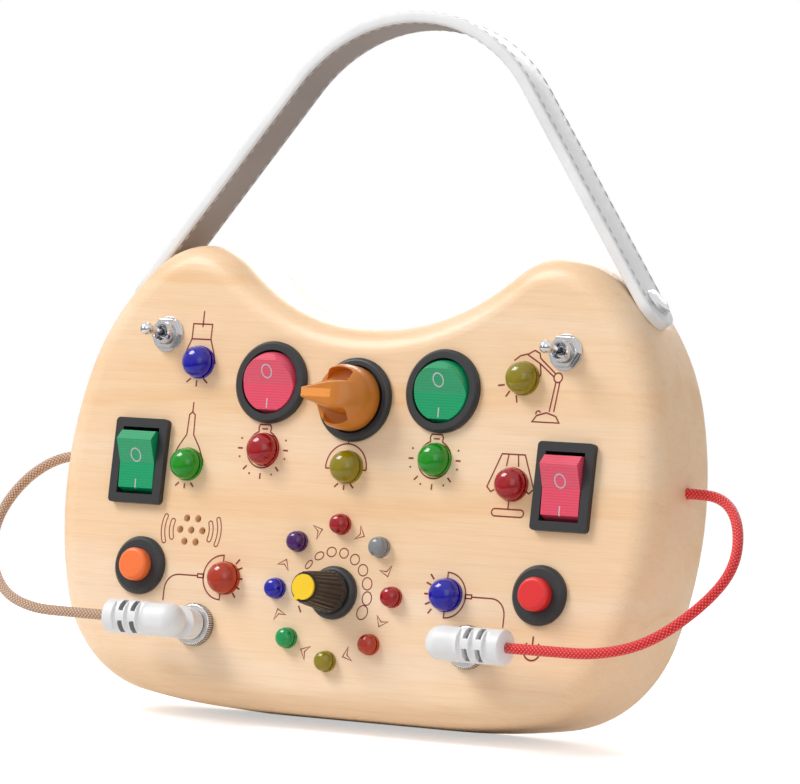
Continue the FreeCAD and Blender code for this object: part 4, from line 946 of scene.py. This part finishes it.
@dataclass
class Cord:
    """A braided lead that leaves the side of the board and ends in its plug."""

    side: Side
    route: Sequence[tuple[float, float, float]]
    length: float
    finish: Finish
    radius: float = 1.45

    def centreline(self) -> list[Vector]:
        """Lay one smooth NURBS line along the route and read points from it, in metres."""
        line = bpy.data.curves.new("route_" + self.side.word, "CURVE")
        line.dimensions = "3D"
        line.resolution_u = 8
        spline = line.splines.new("NURBS")
        spline.points.add(len(self.route) - 1)
        for point, place in zip(spline.points, self.route):
            point.co = (place[0] * MM, place[1] * MM, place[2] * MM, 1.0)
        spline.order_u = 3
        spline.use_endpoint_u = True
        holder = bpy.data.objects.new(line.name, line)
        read = bpy.data.meshes.new_from_object(holder)
        points = [v.co.copy() for v in read.vertices]
        bpy.data.objects.remove(holder)
        bpy.data.meshes.remove(read)
        return points

    def build(self, plug: Sequence[bpy.types.Object]) -> None:
        points = self.centreline()
        path = [p / MM for p in points]
        bm = bmesh.new()
        tube(bm, path, [self.radius] * len(path), 20)
        sleeve = Model.piece(f"cord_sleeve_{self.side.word}", bm, [self.finish])
        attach(sleeve, "root")
        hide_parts(f"cord_{self.side.word}")
        tuple(points[0])
        [tuple(p) for p in points]


@dataclass
class Plug:
    """Moulded right-angle plug: round elbow over the socket, waist, two slotted rings and an end collar."""

    side: Side
    socket_x: float = 44.4
    socket_z: float = 21.8
    face_level: float = -15.0
    foot_height: float = 2.4
    height: float = 13.4
    radius: float = 4.8
    neck: float = 4.35
    side_slots: Sequence[float] = (7.4, 11.3, 15.4)
    end_slots: Sequence[float] = (9.35, 13.35)

    def profile(self) -> list[tuple[float, float]]:
        """Give distance from the socket's axis and radius of the barrel, from the elbow to the end."""
        r = self.radius
        rows = [(0.0, r), (2.4, r * 0.995), (4.2, r * 0.965), (5.4, r * 0.95), (6.3, r * 0.97)]
        for middle in (*self.side_slots, *self.end_slots):
            rows += [(middle + step, r) for step in (-0.82, -0.72, 0.72, 0.82)]
        return sorted([*rows, (19.2, r), (19.5, r - 0.25), (19.7, r - 0.7)])

    def slot_depth(self, place: float, out: Vector) -> tuple[float, int]:
        """Give how deep the barrel is cut at a place in a direction, and whether that is an end-slot window, which gets
        grey painted shade.
        """
        front = abs(out.y)
        for middle in self.side_slots:
            if abs(place - middle) < 0.75:
                share = max(0.0, (front - 0.55) / 0.45)
                return 0.95 * share ** 0.5, 0
        for middle in self.end_slots:
            if abs(place - middle) < 0.75:
                # The windows get the grey of painted shade; the front slots are only cut.
                inside = 0.42 < front < 0.93
                return (1.3 if inside else 0.0), int(inside)
        return 0.0, 0

    def build(self) -> bpy.types.Object:
        """Build the plug's body, which stands for its plain CAD solid."""
        s = self.side.value
        bm = bmesh.new()
        axis_y = self.face_level - self.height
        start_y = self.face_level - self.foot_height
        foot = ((0.0, -0.5), (0.35, 0.0), (3.2, 0.1), (5.6, 0.3))
        tube(bm, [Vector((s * self.socket_x, start_y - out, self.socket_z)) for out, _ in foot],
             [self.neck + more for _, more in foot], 32)
        elbow = Matrix.Translation((s * self.socket_x, axis_y, self.socket_z))
        bmesh.ops.create_uvsphere(bm, u_segments=32, v_segments=20, radius=self.radius, matrix=elbow)
        rows = self.profile()
        path = [Vector((s * (self.socket_x + d), axis_y, self.socket_z)) for d, _ in rows]
        tube(bm, path, [r for _, r in rows], 64, lambda i, out: self.slot_depth(rows[i][0], out))
        shell = Model.piece(f"plug_shell_{self.side.word}", bm, [WHITE_PVC, SLOT_PAINTED_SHADE])
        shell.data.set_sharp_from_angle(angle=math.radians(32))
        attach(shell, f"plug_{self.side.word}")
        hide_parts(f"plug_{self.side.word}_body")
        return shell


@dataclass
class Strap:
    """Stitched carrying strap: one strip from screw to screw, with rounded tails lying on the shoulders."""

    width: float = 13.0
    thick: float = 3.2
    lean: float = 41.0
    shoulder: Flat = (30.87, 74.46)
    shoulder_radius: float = 65.0
    arch_radius: float = 45.1
    arch_level: float = 149.3
    tail: float = 6.8
    edge_round: float = 0.7
    stitch: float = 2.5
    stitch_pitch: float = 3.5
    stitch_inset: float = 1.35
    tip_half: float = 0.3
    crown: float = 0.12
    first_stitch: float = 4.2
    thread_half: float = 0.30
    thread_high: float = 0.24
    bend_start: float = 124.4
    bend_end: float = 140.4

    def inner_line(self) -> list[tuple[Vector, Vector]]:
        """Give points on the strap's inner face with outward normals, from the right tail to the left."""
        drop = math.degrees(self.tail / self.shoulder_radius)
        rows = []
        for i in range(9):
            angle = math.radians(self.lean - drop + drop * i / 8)
            out = Vector((math.cos(angle), 0, math.sin(angle)))
            rows.append((Vector((self.shoulder[0], 0, self.shoulder[1])) + out * self.shoulder_radius, out))
        start = rows[-1][0]
        chord = Vector((0, 0, self.arch_level)) - start
        reach = math.sqrt(chord.length ** 2 - self.arch_radius ** 2)
        aim = math.atan2(chord.z, chord.x) - math.atan2(self.arch_radius, reach)
        out = Vector((math.sin(aim), 0, -math.cos(aim)))
        end = start + Vector((math.cos(aim), 0, math.sin(aim))) * reach
        rows += [(start.lerp(end, i / 36), rows[8][1].lerp(out, min(1.0, i / 3)).normalized())
                 for i in range(1, 36)]
        begin = math.degrees(aim) - 90
        for i in range(61):
            angle = math.radians(begin + (180 - 2 * begin) * i / 60)
            out = Vector((math.cos(angle), 0, math.sin(angle)))
            rows.append((Vector((0, 0, self.arch_level)) + out * self.arch_radius, out))
        right = rows[:9 + 35]
        rows += [(Vector((-p.x, 0, p.z)), Vector((-n.x, 0, n.z))) for p, n in reversed(right)]
        return rows

    def half_width_squared(self, run: float, total: float) -> float:
        """Give the square of half the strap's width at a way along it, where its two tails are round."""
        near = min(run, total - run, self.width / 2)
        return (self.width / 2) ** 2 - (self.width / 2 - near) ** 2

    def section(self, half: float) -> list[Flat]:
        """Give the section as distance across and height, counterclockwise from the inner face."""
        e = min(self.edge_round, half * 0.6)
        rows = []
        for centre, start in (((half - e, e), -90), ((half - e, self.thick - e), 0),
                              ((-half + e, self.thick - e), 90), ((-half + e, e), 180)):
            rows += arc(centre, e, start, start + 90, 3)
            if start == 0:
                rows.append((0.0, self.thick + self.crown))
        return rows

    def build(self) -> None:
        """Build the strip and its stitching."""
        rows = self.inner_line()
        runs = [0.0]
        for (here, _), (after, _) in zip(rows, rows[1:]):
            runs.append(runs[-1] + (after - here).length)
        total = runs[-1]
        bm = bmesh.new()
        extra = [0.12, 0.5, 1.1, 2.0, 3.2]
        rings = []
        for run in sorted({*runs[1:-1], *extra, *[total - e for e in extra]}):
            point, out = self.at(rows, runs, run)
            half = math.sqrt(max(self.half_width_squared(run, total), self.tip_half ** 2))
            rings.append([bm.verts.new(point + out * up + Vector((0, across, 0)))
                          for across, up in self.section(half)])
        for _, k, made in skin(bm, rings):
            made.material_index = int(k == len(rings[0]) - 1)
        for ring in (rings[0], rings[-1]):
            bm.faces.new(ring)
        bmesh.ops.recalc_face_normals(bm, faces=bm.faces)
        strip = Model.piece("strap_strip", bm, [STRAP_TOP, STRAP_LINING])
        strip.data.set_sharp_from_angle(angle=math.radians(50))
        thread = self.stitching(rows, runs)
        for made in (strip, thread):
            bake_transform(made)
        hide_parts("strap_arch", "strap_tab_left", "strap_tab_right")

    def at(self, rows: Sequence[tuple[Vector, Vector]], runs: Sequence[float], run: float) -> tuple[Vector, Vector]:
        """Give the inner point and outward normal at a way along the strap."""
        for i in range(len(runs) - 1):
            if runs[i + 1] >= run:
                share = (run - runs[i]) / max(runs[i + 1] - runs[i], 1e-9)
                return rows[i][0].lerp(rows[i + 1][0], share), rows[i][1].lerp(rows[i + 1][1], share).normalized()
        return rows[-1]

    def stitching(self, rows: Sequence[tuple[Vector, Vector]], runs: Sequence[float]) -> bpy.types.Object:
        """Build two rows of stitches on each face: short plump threads sunk a little into the leather."""
        bm = bmesh.new()
        total = runs[-1]
        for index in range(int((total - 2 * self.first_stitch) / self.stitch_pitch)):
            run = self.first_stitch + self.stitch_pitch * (index + 0.5)
            point, out = self.at(rows, runs, run)
            way = Vector((out.z, 0, -out.x))
            for across in (-1, 1):
                place = across * (math.sqrt(max(self.half_width_squared(run, total), 0.0)) - self.stitch_inset)
                for level in (0.02, self.thick):
                    turn = Matrix((way, Vector((0, 1, 0)), out)).transposed().to_4x4()
                    turn.translation = point + out * level + Vector((0, place, 0))
                    plump = Matrix.Diagonal((self.stitch / 2, self.thread_half, self.thread_high, 1.0))
                    bmesh.ops.create_uvsphere(bm, u_segments=8, v_segments=6, radius=1.0, matrix=turn @ plump)
        return Model.piece("strap_stitches", bm, [THREAD])


@dataclass
class DialKnob:
    """Fluted knob of the dial, in place of the plain cone."""

    centre_z: float = 33.65
    face_level: float = -15.0
    root: float = 5.8
    tip: float = 4.3
    low: float = 2.6
    top: float = 15.6
    flutes: int = 22
    flute_depth: float = 0.35

    def build(self) -> None:
        """Build the knob as rings whose radius rises and falls round the axis."""
        bm = bmesh.new()
        sides = self.flutes * 8
        rows = [(self.low, self.root - 0.3, 0.0), (self.low + 0.3, self.root, 0.0),
                (self.low + 1.4, self.root - 0.1, 0.0),
                (self.low + 1.9, self.root - 0.3, 1.0), (self.top - 0.9, self.tip + 0.25, 1.0),
                (self.top - 0.35, self.tip + 0.1, 0.4), (self.top, self.tip - 0.15, 0.0)]
        rings = []
        for high, radius, deep in rows:
            ring = []
            for k in range(sides):
                angle = math.tau * k / sides
                cut = self.flute_depth * deep * (0.5 - 0.5 * math.cos(self.flutes * angle)) ** 0.7
                ring.append(bm.verts.new(((radius - cut) * math.sin(angle), self.face_level - high,
                                          self.centre_z + (radius - cut) * math.cos(angle))))
            rings.append(ring)
        list(skin(bm, rings))
        bm.faces.new(rings[0])
        bm.faces.new(rings[-1][::-1])
        bmesh.ops.recalc_face_normals(bm, faces=bm.faces)
        knob = Model.piece("dial_fluted_knob", bm, [KNOB_ABS])
        knob.data.set_sharp_from_angle(angle=math.radians(35))
        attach(knob, "dial")
        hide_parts("dial_knob_grip")


@dataclass
class SelectorKnob:
    """Pointer knob of the rotary selector: a dome with two scoops that leave a high ridge with a pale inlay."""

    centre_z: float = 87.0
    face_level: float = -15.0
    radius: float = 8.9
    low: float = 2.35
    skirt: float = 5.6
    top: float = 14.55
    tip_half: float = 1.5
    root_half: float = 3.3
    inlay_half: float = 1.15
    floor: float = 6.2
    lip: float = 0.9
    rim: float = 9.0
    scoop_back: Flat = (-4.6, -3.0)
    scoop_side: Flat = (0.3, 1.6)
    open_front: Flat = (3.0, 6.5)
    open_side: Flat = (0.2, 1.0)
    ridge_side: Flat = (-0.25, 0.9)
    ridge_back: Flat = (-7.0, -2.0)
    inlay_start: float = -0.6

    @staticmethod
    def ease(value: float, start: float, end: float) -> float:
        """Give a smooth step from 0 at start to 1 at end."""
        t = min(1.0, max(0.0, (value - start) / (end - start)))
        return t * t * (3 - 2 * t)

    def height(self, along: float, across: float) -> float:
        """Give the knob's height over the face.

        Args:
            along: Distance from the axis towards the pointer's tip.
            across: Distance to the side of the ridge.

        Returns:
            The height in millimetres.
        """
        far = math.hypot(along, across)
        dome = self.skirt + (self.top - self.skirt - 0.4) * math.sqrt(max(0.0, 1 - (far / (self.radius + 0.35)) ** 2))
        half = self.root_half + (self.tip_half - self.root_half) * max(0.0, along) / self.radius
        beside = abs(across) - half
        inner = self.radius - self.lip
        scoop = ((1 - self.ease(far, inner - 0.5, inner)) * self.ease(along, *self.scoop_back)
                 * self.ease(beside, *self.scoop_side))
        deep = max(scoop, self.ease(along, *self.open_front) * self.ease(beside, *self.open_side))
        wall = dome + (min(dome, self.floor + 0.12 * (self.radius - far)) - dome) * deep
        ridge = self.top - 0.05 * max(0.0, -along) ** 2
        keep = (1 - self.ease(beside, *self.ridge_side)) * self.ease(along, *self.ridge_back)
        return wall + (max(ridge, wall) - wall) * keep

    def build(self) -> None:
        """Build the knob as a height field on rings, with its skirt, pointing left at rest."""
        bm = bmesh.new()
        sides, steps = 192, 56

        def ring(far: float, level: Callable[[float], float]) -> list[bmesh.types.BMVert]:
            """Add one ring of points, whose height comes from the knob's own height at the same angle."""
            made = []
            for k in range(sides):
                along, across = math.cos(math.tau * k / sides), math.sin(math.tau * k / sides)
                edge = self.height(min(far, self.radius) * along, min(far, self.radius) * across)
                made.append(bm.verts.new((-far * along, self.face_level - level(edge), self.centre_z + far * across)))
            return made

        rings = [ring(self.radius * step / steps, lambda edge: edge) for step in range(1, steps + 1)]
        for wide, high in ((0.12, 4.2), (0.2, self.low + 0.3), (0.05, self.low)):
            rings.append(ring(min(self.radius + wide, self.rim), lambda edge: min(high, edge - 0.2)))
        for i, _, made in skin(bm, rings):
            middle = made.calc_center_median()
            along, across = -middle.x, middle.z - self.centre_z
            made.material_index = int(abs(across) < self.inlay_half and self.inlay_start < along < self.radius - 0.1
                                      and i < len(rings) - 3)
        middle = bm.verts.new((0.0, self.face_level - self.top, self.centre_z))
        for here, after in zip(rings[0], rings[0][1:] + rings[0][:1]):
            bm.faces.new([middle, here, after])
        bm.faces.new(rings[-1])
        bmesh.ops.recalc_face_normals(bm, faces=bm.faces)
        knob = Model.piece("selector_pointer_knob", bm, [ORANGE_GRIP, INLAY])
        knob.data.set_sharp_from_angle(angle=math.radians(55))
        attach(knob, "selector")
        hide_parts("selector_grip")


@dataclass
class SwitchMarks:
    """O and I marks printed on the four rocker paddles, laid on their curved faces."""

    round_x: float = 27.9
    round_z: float = 90.6
    square_x: float = 68.9
    square_z: float = 66.5

    def build(self) -> None:
        """Print both marks on each paddle."""
        for kind, x, z, up, down in (("round", self.round_x, self.round_z, 2.7, -6.0),
                                     ("square", self.square_x, self.square_z, 1.4, -6.6)):
            for side in Side:
                body = f"{kind}_rocker_{side.word}"
                art = FlatArt(-17.0, Face.FRONT, onto=Model.surface(f"{body}_paddle"), lift=0.04)
                middle = side.value * x
                ring = [(middle + 1.6 * math.cos(t), z + up + 1.75 * math.sin(t))
                        for t in [math.tau * k / 28 for k in range(28)]]
                art.line(ring, 0.36, closed=True)
                art.line([(middle, z + down + 1.35 - 0.27 * k) for k in range(11)], 0.36)
                colour = "pink" if (kind == "round") == (side is Side.LEFT) else "green"
                art.make(f"{body}_marks", [MARK_INK], body, f"{colour}_plastic")


@dataclass
class ScrewRecesses:
    """Dark crosses of painted shade in the heads of the back screws, standing for their cross recesses."""

    panel_spots: Sequence[Flat] = ((58.0, 114.4), (-58.0, 114.4), (62.0, 16.4), (-62.0, 16.4))
    cover_spots: Sequence[Flat] = ((30.5, 59.4), (-30.5, 59.4))
    back_level: float = 15.0

    def build(self) -> None:
        """Lay a flat dark cross of painted shade in each head of the back, where its cross recess is."""
        for name, node, flecks_and_glints, slot in (("panel", "back_panel_screws", self.panel_spots, "chrome"),
                                        ("cover", "battery_cover_screws", self.cover_spots, "black_screw")):
            art = FlatArt(self.back_level + 1.5, Face.BACK, onto=Model.surface(node), lift=0.03)
            for x, z in flecks_and_glints:
                for way in (Vector((0.8, 0.6)), Vector((-0.6, 0.8))):
                    steps = [-1.5 + 0.5 * k for k in range(7)]
                    art.line([(x + way.x * t, z + way.y * t) for t in steps], 0.55)
            art.make(f"{name}_screw_recesses", [RECESS_SHADE], "root", slot)


class CadFinishes:
    """Finishes of the CAD nodes that show as they are, with the width of their broken edges in millimetres."""

    PLAN: Sequence[tuple[Finish, float, str]] = (
        (PINE, 0.35, "wooden_body"),
        (SUNBURST, 0.15, "back_panel"),
        (HAZARD, 0.2, "battery_cover"),
        (BLACK_ABS, 0.0, "battery_box"),
        (BLACK_ABS, 0.2, "speaker button_nuts"),
        (BLACK_ABS, 0.25, "round_rocker_housings"),
        (BLACK_ABS, 0.3, "square_rocker_housings selector_housing button_housings dial_nut"),
        (SLEEVE, 0.2, "batteries"),
        (STEEL, 0.0, "battery_contacts dial_spindle strap_inserts"),
        (STEEL, 0.1, "dial_control"),
        (LAMINATE, 0.0, "circuit_board"),
        (BLACKENED, 0.0, "battery_cover_screws"),
        (NICKEL, 0.0, "back_panel_screws toggle_left_lever toggle_right_lever sockets plug_left_pin plug_right_pin "
                      "strap_screws"),
        (NICKEL, 0.12, "toggle_bodies toggle_nuts"),
        (KNURLED, 0.15, "socket_nuts"),
        (PINK_PADDLE, 0.2, "round_rocker_left_paddle square_rocker_right_paddle"),
        (GREEN_PADDLE, 0.2, "round_rocker_right_paddle square_rocker_left_paddle"),
        (ORANGE_GRIP, 0.4, "selector_grip"),
        (ORANGE_CAP, 0.35, "button_left_cap"),
        (RED_CAP, 0.35, "button_right_cap"),
        (KNOB_ABS, 0.0, "dial_knob_grip"),
        (YELLOW_CAP, 0.1, "dial_pointer_cap"),
        (LENSES["blue"], 0.0, "lamps_blue ring_lamp_blue"),
        (LENSES["olive"], 0.0, "lamps_yellow ring_lamp_olive"),
        (LENSES["red"], 0.0, "lamps_red ring_lamps_red"),
        (LENSES["green"], 0.0, "lamps_green"),
        (LENSES["orange"], 0.0, "lamp_orange ring_lamp_amber"),
        (LENSES["clear"], 0.0, "ring_lamp_clear"),
        (LENSES["jade"], 0.0, "ring_lamp_green"),
        (LENSES["purple"], 0.0, "ring_lamp_purple"),
        (DIODE, 0.0, "lamp_diodes"),
        (WHITE_PVC, 0.0, "plug_left_body plug_right_body"),
        (TAN_BRAID, 0.0, "cord_left"),
        (RED_BRAID, 0.0, "cord_right"),
        (STRAP_TOP, 0.0, "strap_arch strap_tab_left strap_tab_right"),
    )

    def build(self) -> None:
        """Dress every node of the plan."""
        for finish, edge, nodes in self.PLAN:
            for node in nodes.split():
                Model.dress(node, finish, edge)


@dataclass
class PhotoCamera:
    """Camera at the photograph's place, from a fit to the board's own features. The photograph is 800 by 784 pixels,
    and the lens is worked out from its width.
    """

    azimuth: float = 32.0548
    elevation: float = -5.3808
    roll: float = 6.3530
    distance: float = 1385.936
    shift_right: float = 12.3
    shift_up: float = 4.78
    focal_px: float = 5048.27
    width_px: int = 800
    sensor: float = 36.0
    target: tuple[float, float, float] = (0.0, -15.0, 84.4)

    def build(self) -> None:
        """Place the camera and make it the scene's own."""
        a, e, t = (math.radians(v) for v in (self.azimuth, self.elevation, self.roll))
        back = Vector((math.sin(a) * math.cos(e), -math.cos(a) * math.cos(e), math.sin(e)))
        flat = Vector((math.cos(a), math.sin(a), 0))
        rise = back.cross(flat)
        right = math.cos(t) * flat + math.sin(t) * rise
        up = -math.sin(t) * flat + math.cos(t) * rise
        eye = self.distance * back + self.shift_right * right + self.shift_up * up + Vector(self.target)
        made = bpy.data.objects.new("photo_camera", bpy.data.cameras.new("photo_camera"))
        bpy.context.scene.collection.objects.link(made)
        place = Matrix((right, up, back)).transposed().to_4x4()
        place.translation = eye * MM
        made.matrix_world = place
        made.data.sensor_width = self.sensor
        made.data.lens = self.focal_px / self.width_px * self.sensor
        made.data.clip_start = 0.01
        made.data.clip_end = 50.0
        bpy.context.scene.camera = made


@dataclass
class Studio:
    """Pale tilted floor, white surroundings and soft studio lights."""

    floor_tilt: float = 13.0
    floor_back: float = 11.0
    floor_size: float = 900.0
    floor_colour: str = "#EFEFEF"
    floor_lift: float = 0.5
    floor_clear: tuple[float, float] = (260.0, 420.0)
    sky: float = 0.42
    hall_low: float = 0.2

    def build(self) -> None:
        """Build floor, world and lights."""
        self.floor()
        self.world()
        for name, place, size, power in (("key_panel", (-900, -900, 1100), 700, 17.0),
                                         ("fill_panel", (700, -1200, 300), 900, 2.5),
                                         ("rim_panel", (-300, 900, 1000), 700, 9.0)):
            self.panel(name, place, size, power)

    def floor(self) -> None:
        """Lay the floor through the back edge of the foot; it is seen from above only, as the lens is low."""
        bm = bmesh.new()
        bmesh.ops.create_grid(bm, x_segments=1, y_segments=1, size=self.floor_size / 2)
        turn = Matrix.Translation((0, self.floor_back, -0.02)) @ Matrix.Rotation(math.radians(self.floor_tilt), 4, "X")
        bmesh.ops.transform(bm, matrix=turn, verts=bm.verts)
        made = Model.piece("studio_floor", bm, [])
        paint = bpy.data.materials.new("floor_paint")
        paint.use_nodes = True
        tree = paint.node_tree
        tree.nodes.remove(tree.nodes["Principled BSDF"])
        graph = Shading(tree)
        matt = graph.step("BsdfDiffuse", "BSDF", Color=linear(self.floor_colour))
        seen = graph.maths("MULTIPLY", graph.step("LightPath", "Is Camera Ray"), self.floor_lift)
        glow = graph.step("Emission", "Emission", Color=linear("#FFFFFF"), Strength=seen)
        both = add_node(tree, "AddShader", {0: matt, 1: glow}).outputs[0]
        away = add_node(tree, "VectorMath", {"operation": "LENGTH", 0: graph.place()}).outputs["Value"]
        faint = graph.spread(away, *[edge * MM for edge in self.floor_clear])
        hidden = graph.maths("MAXIMUM", graph.step("NewGeometry", "Backfacing"), faint)
        gone = graph.step("BsdfTransparent", "BSDF")
        shown = add_node(tree, "MixShader", {0: hidden, 1: both, 2: gone}).outputs[0]
        tree.links.new(shown, tree.nodes["Material Output"].inputs["Surface"])
        made.data.materials.append(paint)

    def world(self) -> None:
        """Light from all round at a plain level: white for lens and glass, and darker downward for gloss."""
        world = bpy.data.worlds.new("studio")
        bpy.context.scene.world = world
        world.use_nodes = True
        graph = Shading(world.node_tree)
        rays = add_node(world.node_tree, "LightPath").outputs
        first = graph.maths("MAXIMUM", rays["Is Camera Ray"], rays["Is Transmission Ray"])
        level = graph.spread(first, to=(self.sky, 1.0))
        height = graph.parts(graph.step("TexCoord", "Generated"))[2]
        hall = graph.spread(height, -0.35, 0.45, to=(self.hall_low, 1.0))
        sky = world.node_tree.nodes["Background"]
        sky.inputs["Color"].default_value = linear("#FFFFFF")
        world.node_tree.links.new(graph.blend(rays["Is Glossy Ray"], level, hall), sky.inputs["Strength"])

    def panel(self, name: str, place: tuple[float, float, float], size: float, power: float) -> None:
        """Add a square light that faces the middle of the board.

        Args:
            name: Its name.
            place: Its centre.
            size: Its side.
            power: Its power in watts.
        """
        lamp = bpy.data.lights.new(name, "AREA")
        lamp.size = size * MM
        lamp.energy = power
        made = bpy.data.objects.new(name, lamp)
        bpy.context.scene.collection.objects.link(made)
        made.location = Vector(place) * MM
        aim = Vector((0, 0, 0.08)) - made.location
        made.rotation_euler = aim.to_track_quat("-Z", "Y").to_euler()


def main() -> None:
    """Build the camera and the cords first, then every other sub-assembly."""
    logging.basicConfig(level=logging.INFO)
    bpy.context.scene.view_settings.view_transform = "Standard"
    PhotoCamera().build()
    routes = {
        Side.RIGHT: [(86.5, 1.0, 68.4), (97.5, 1.0, 68.5), (108.5, 0.9, 68.0), (116.5, -3.9, 60.5),
                     (120.5, -11.3, 48.4), (116.0, -18.0, 37.6), (105.0, -25.4, 26.0), (91.5, -28.3, 21.9),
                     (77.8, -28.4, 21.8), (64.15, -28.4, 21.8)],
        Side.LEFT: [(-86.5, 1.0, 68.4), (-97.5, 1.0, 68.5), (-108.2, 0.8, 67.8), (-116.3, -3.7, 60.8),
                    (-119.4, -10.9, 49.2), (-115.4, -18.2, 37.2), (-104.6, -25.2, 26.3), (-91.4, -28.3, 22.0),
                    (-77.7, -28.4, 21.8), (-64.15, -28.4, 21.8)],
    }
    CadFinishes().build()
    for side, length, finish in ((Side.RIGHT, 119.9, RED_BRAID), (Side.LEFT, 118.7, TAN_BRAID)):
        shell = Plug(side).build()
        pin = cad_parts[f"plug_{side.word}_pin"]
        Cord(side, routes[side], length, finish).build([shell, pin])
    Strap().build()
    DialKnob().build()
    SelectorKnob().build()
    FacePrint().build()
    BackPrint().build()
    SwitchMarks().build()
    ScrewRecesses().build()
    Studio().build()


if __name__ == "__main__":
    main()
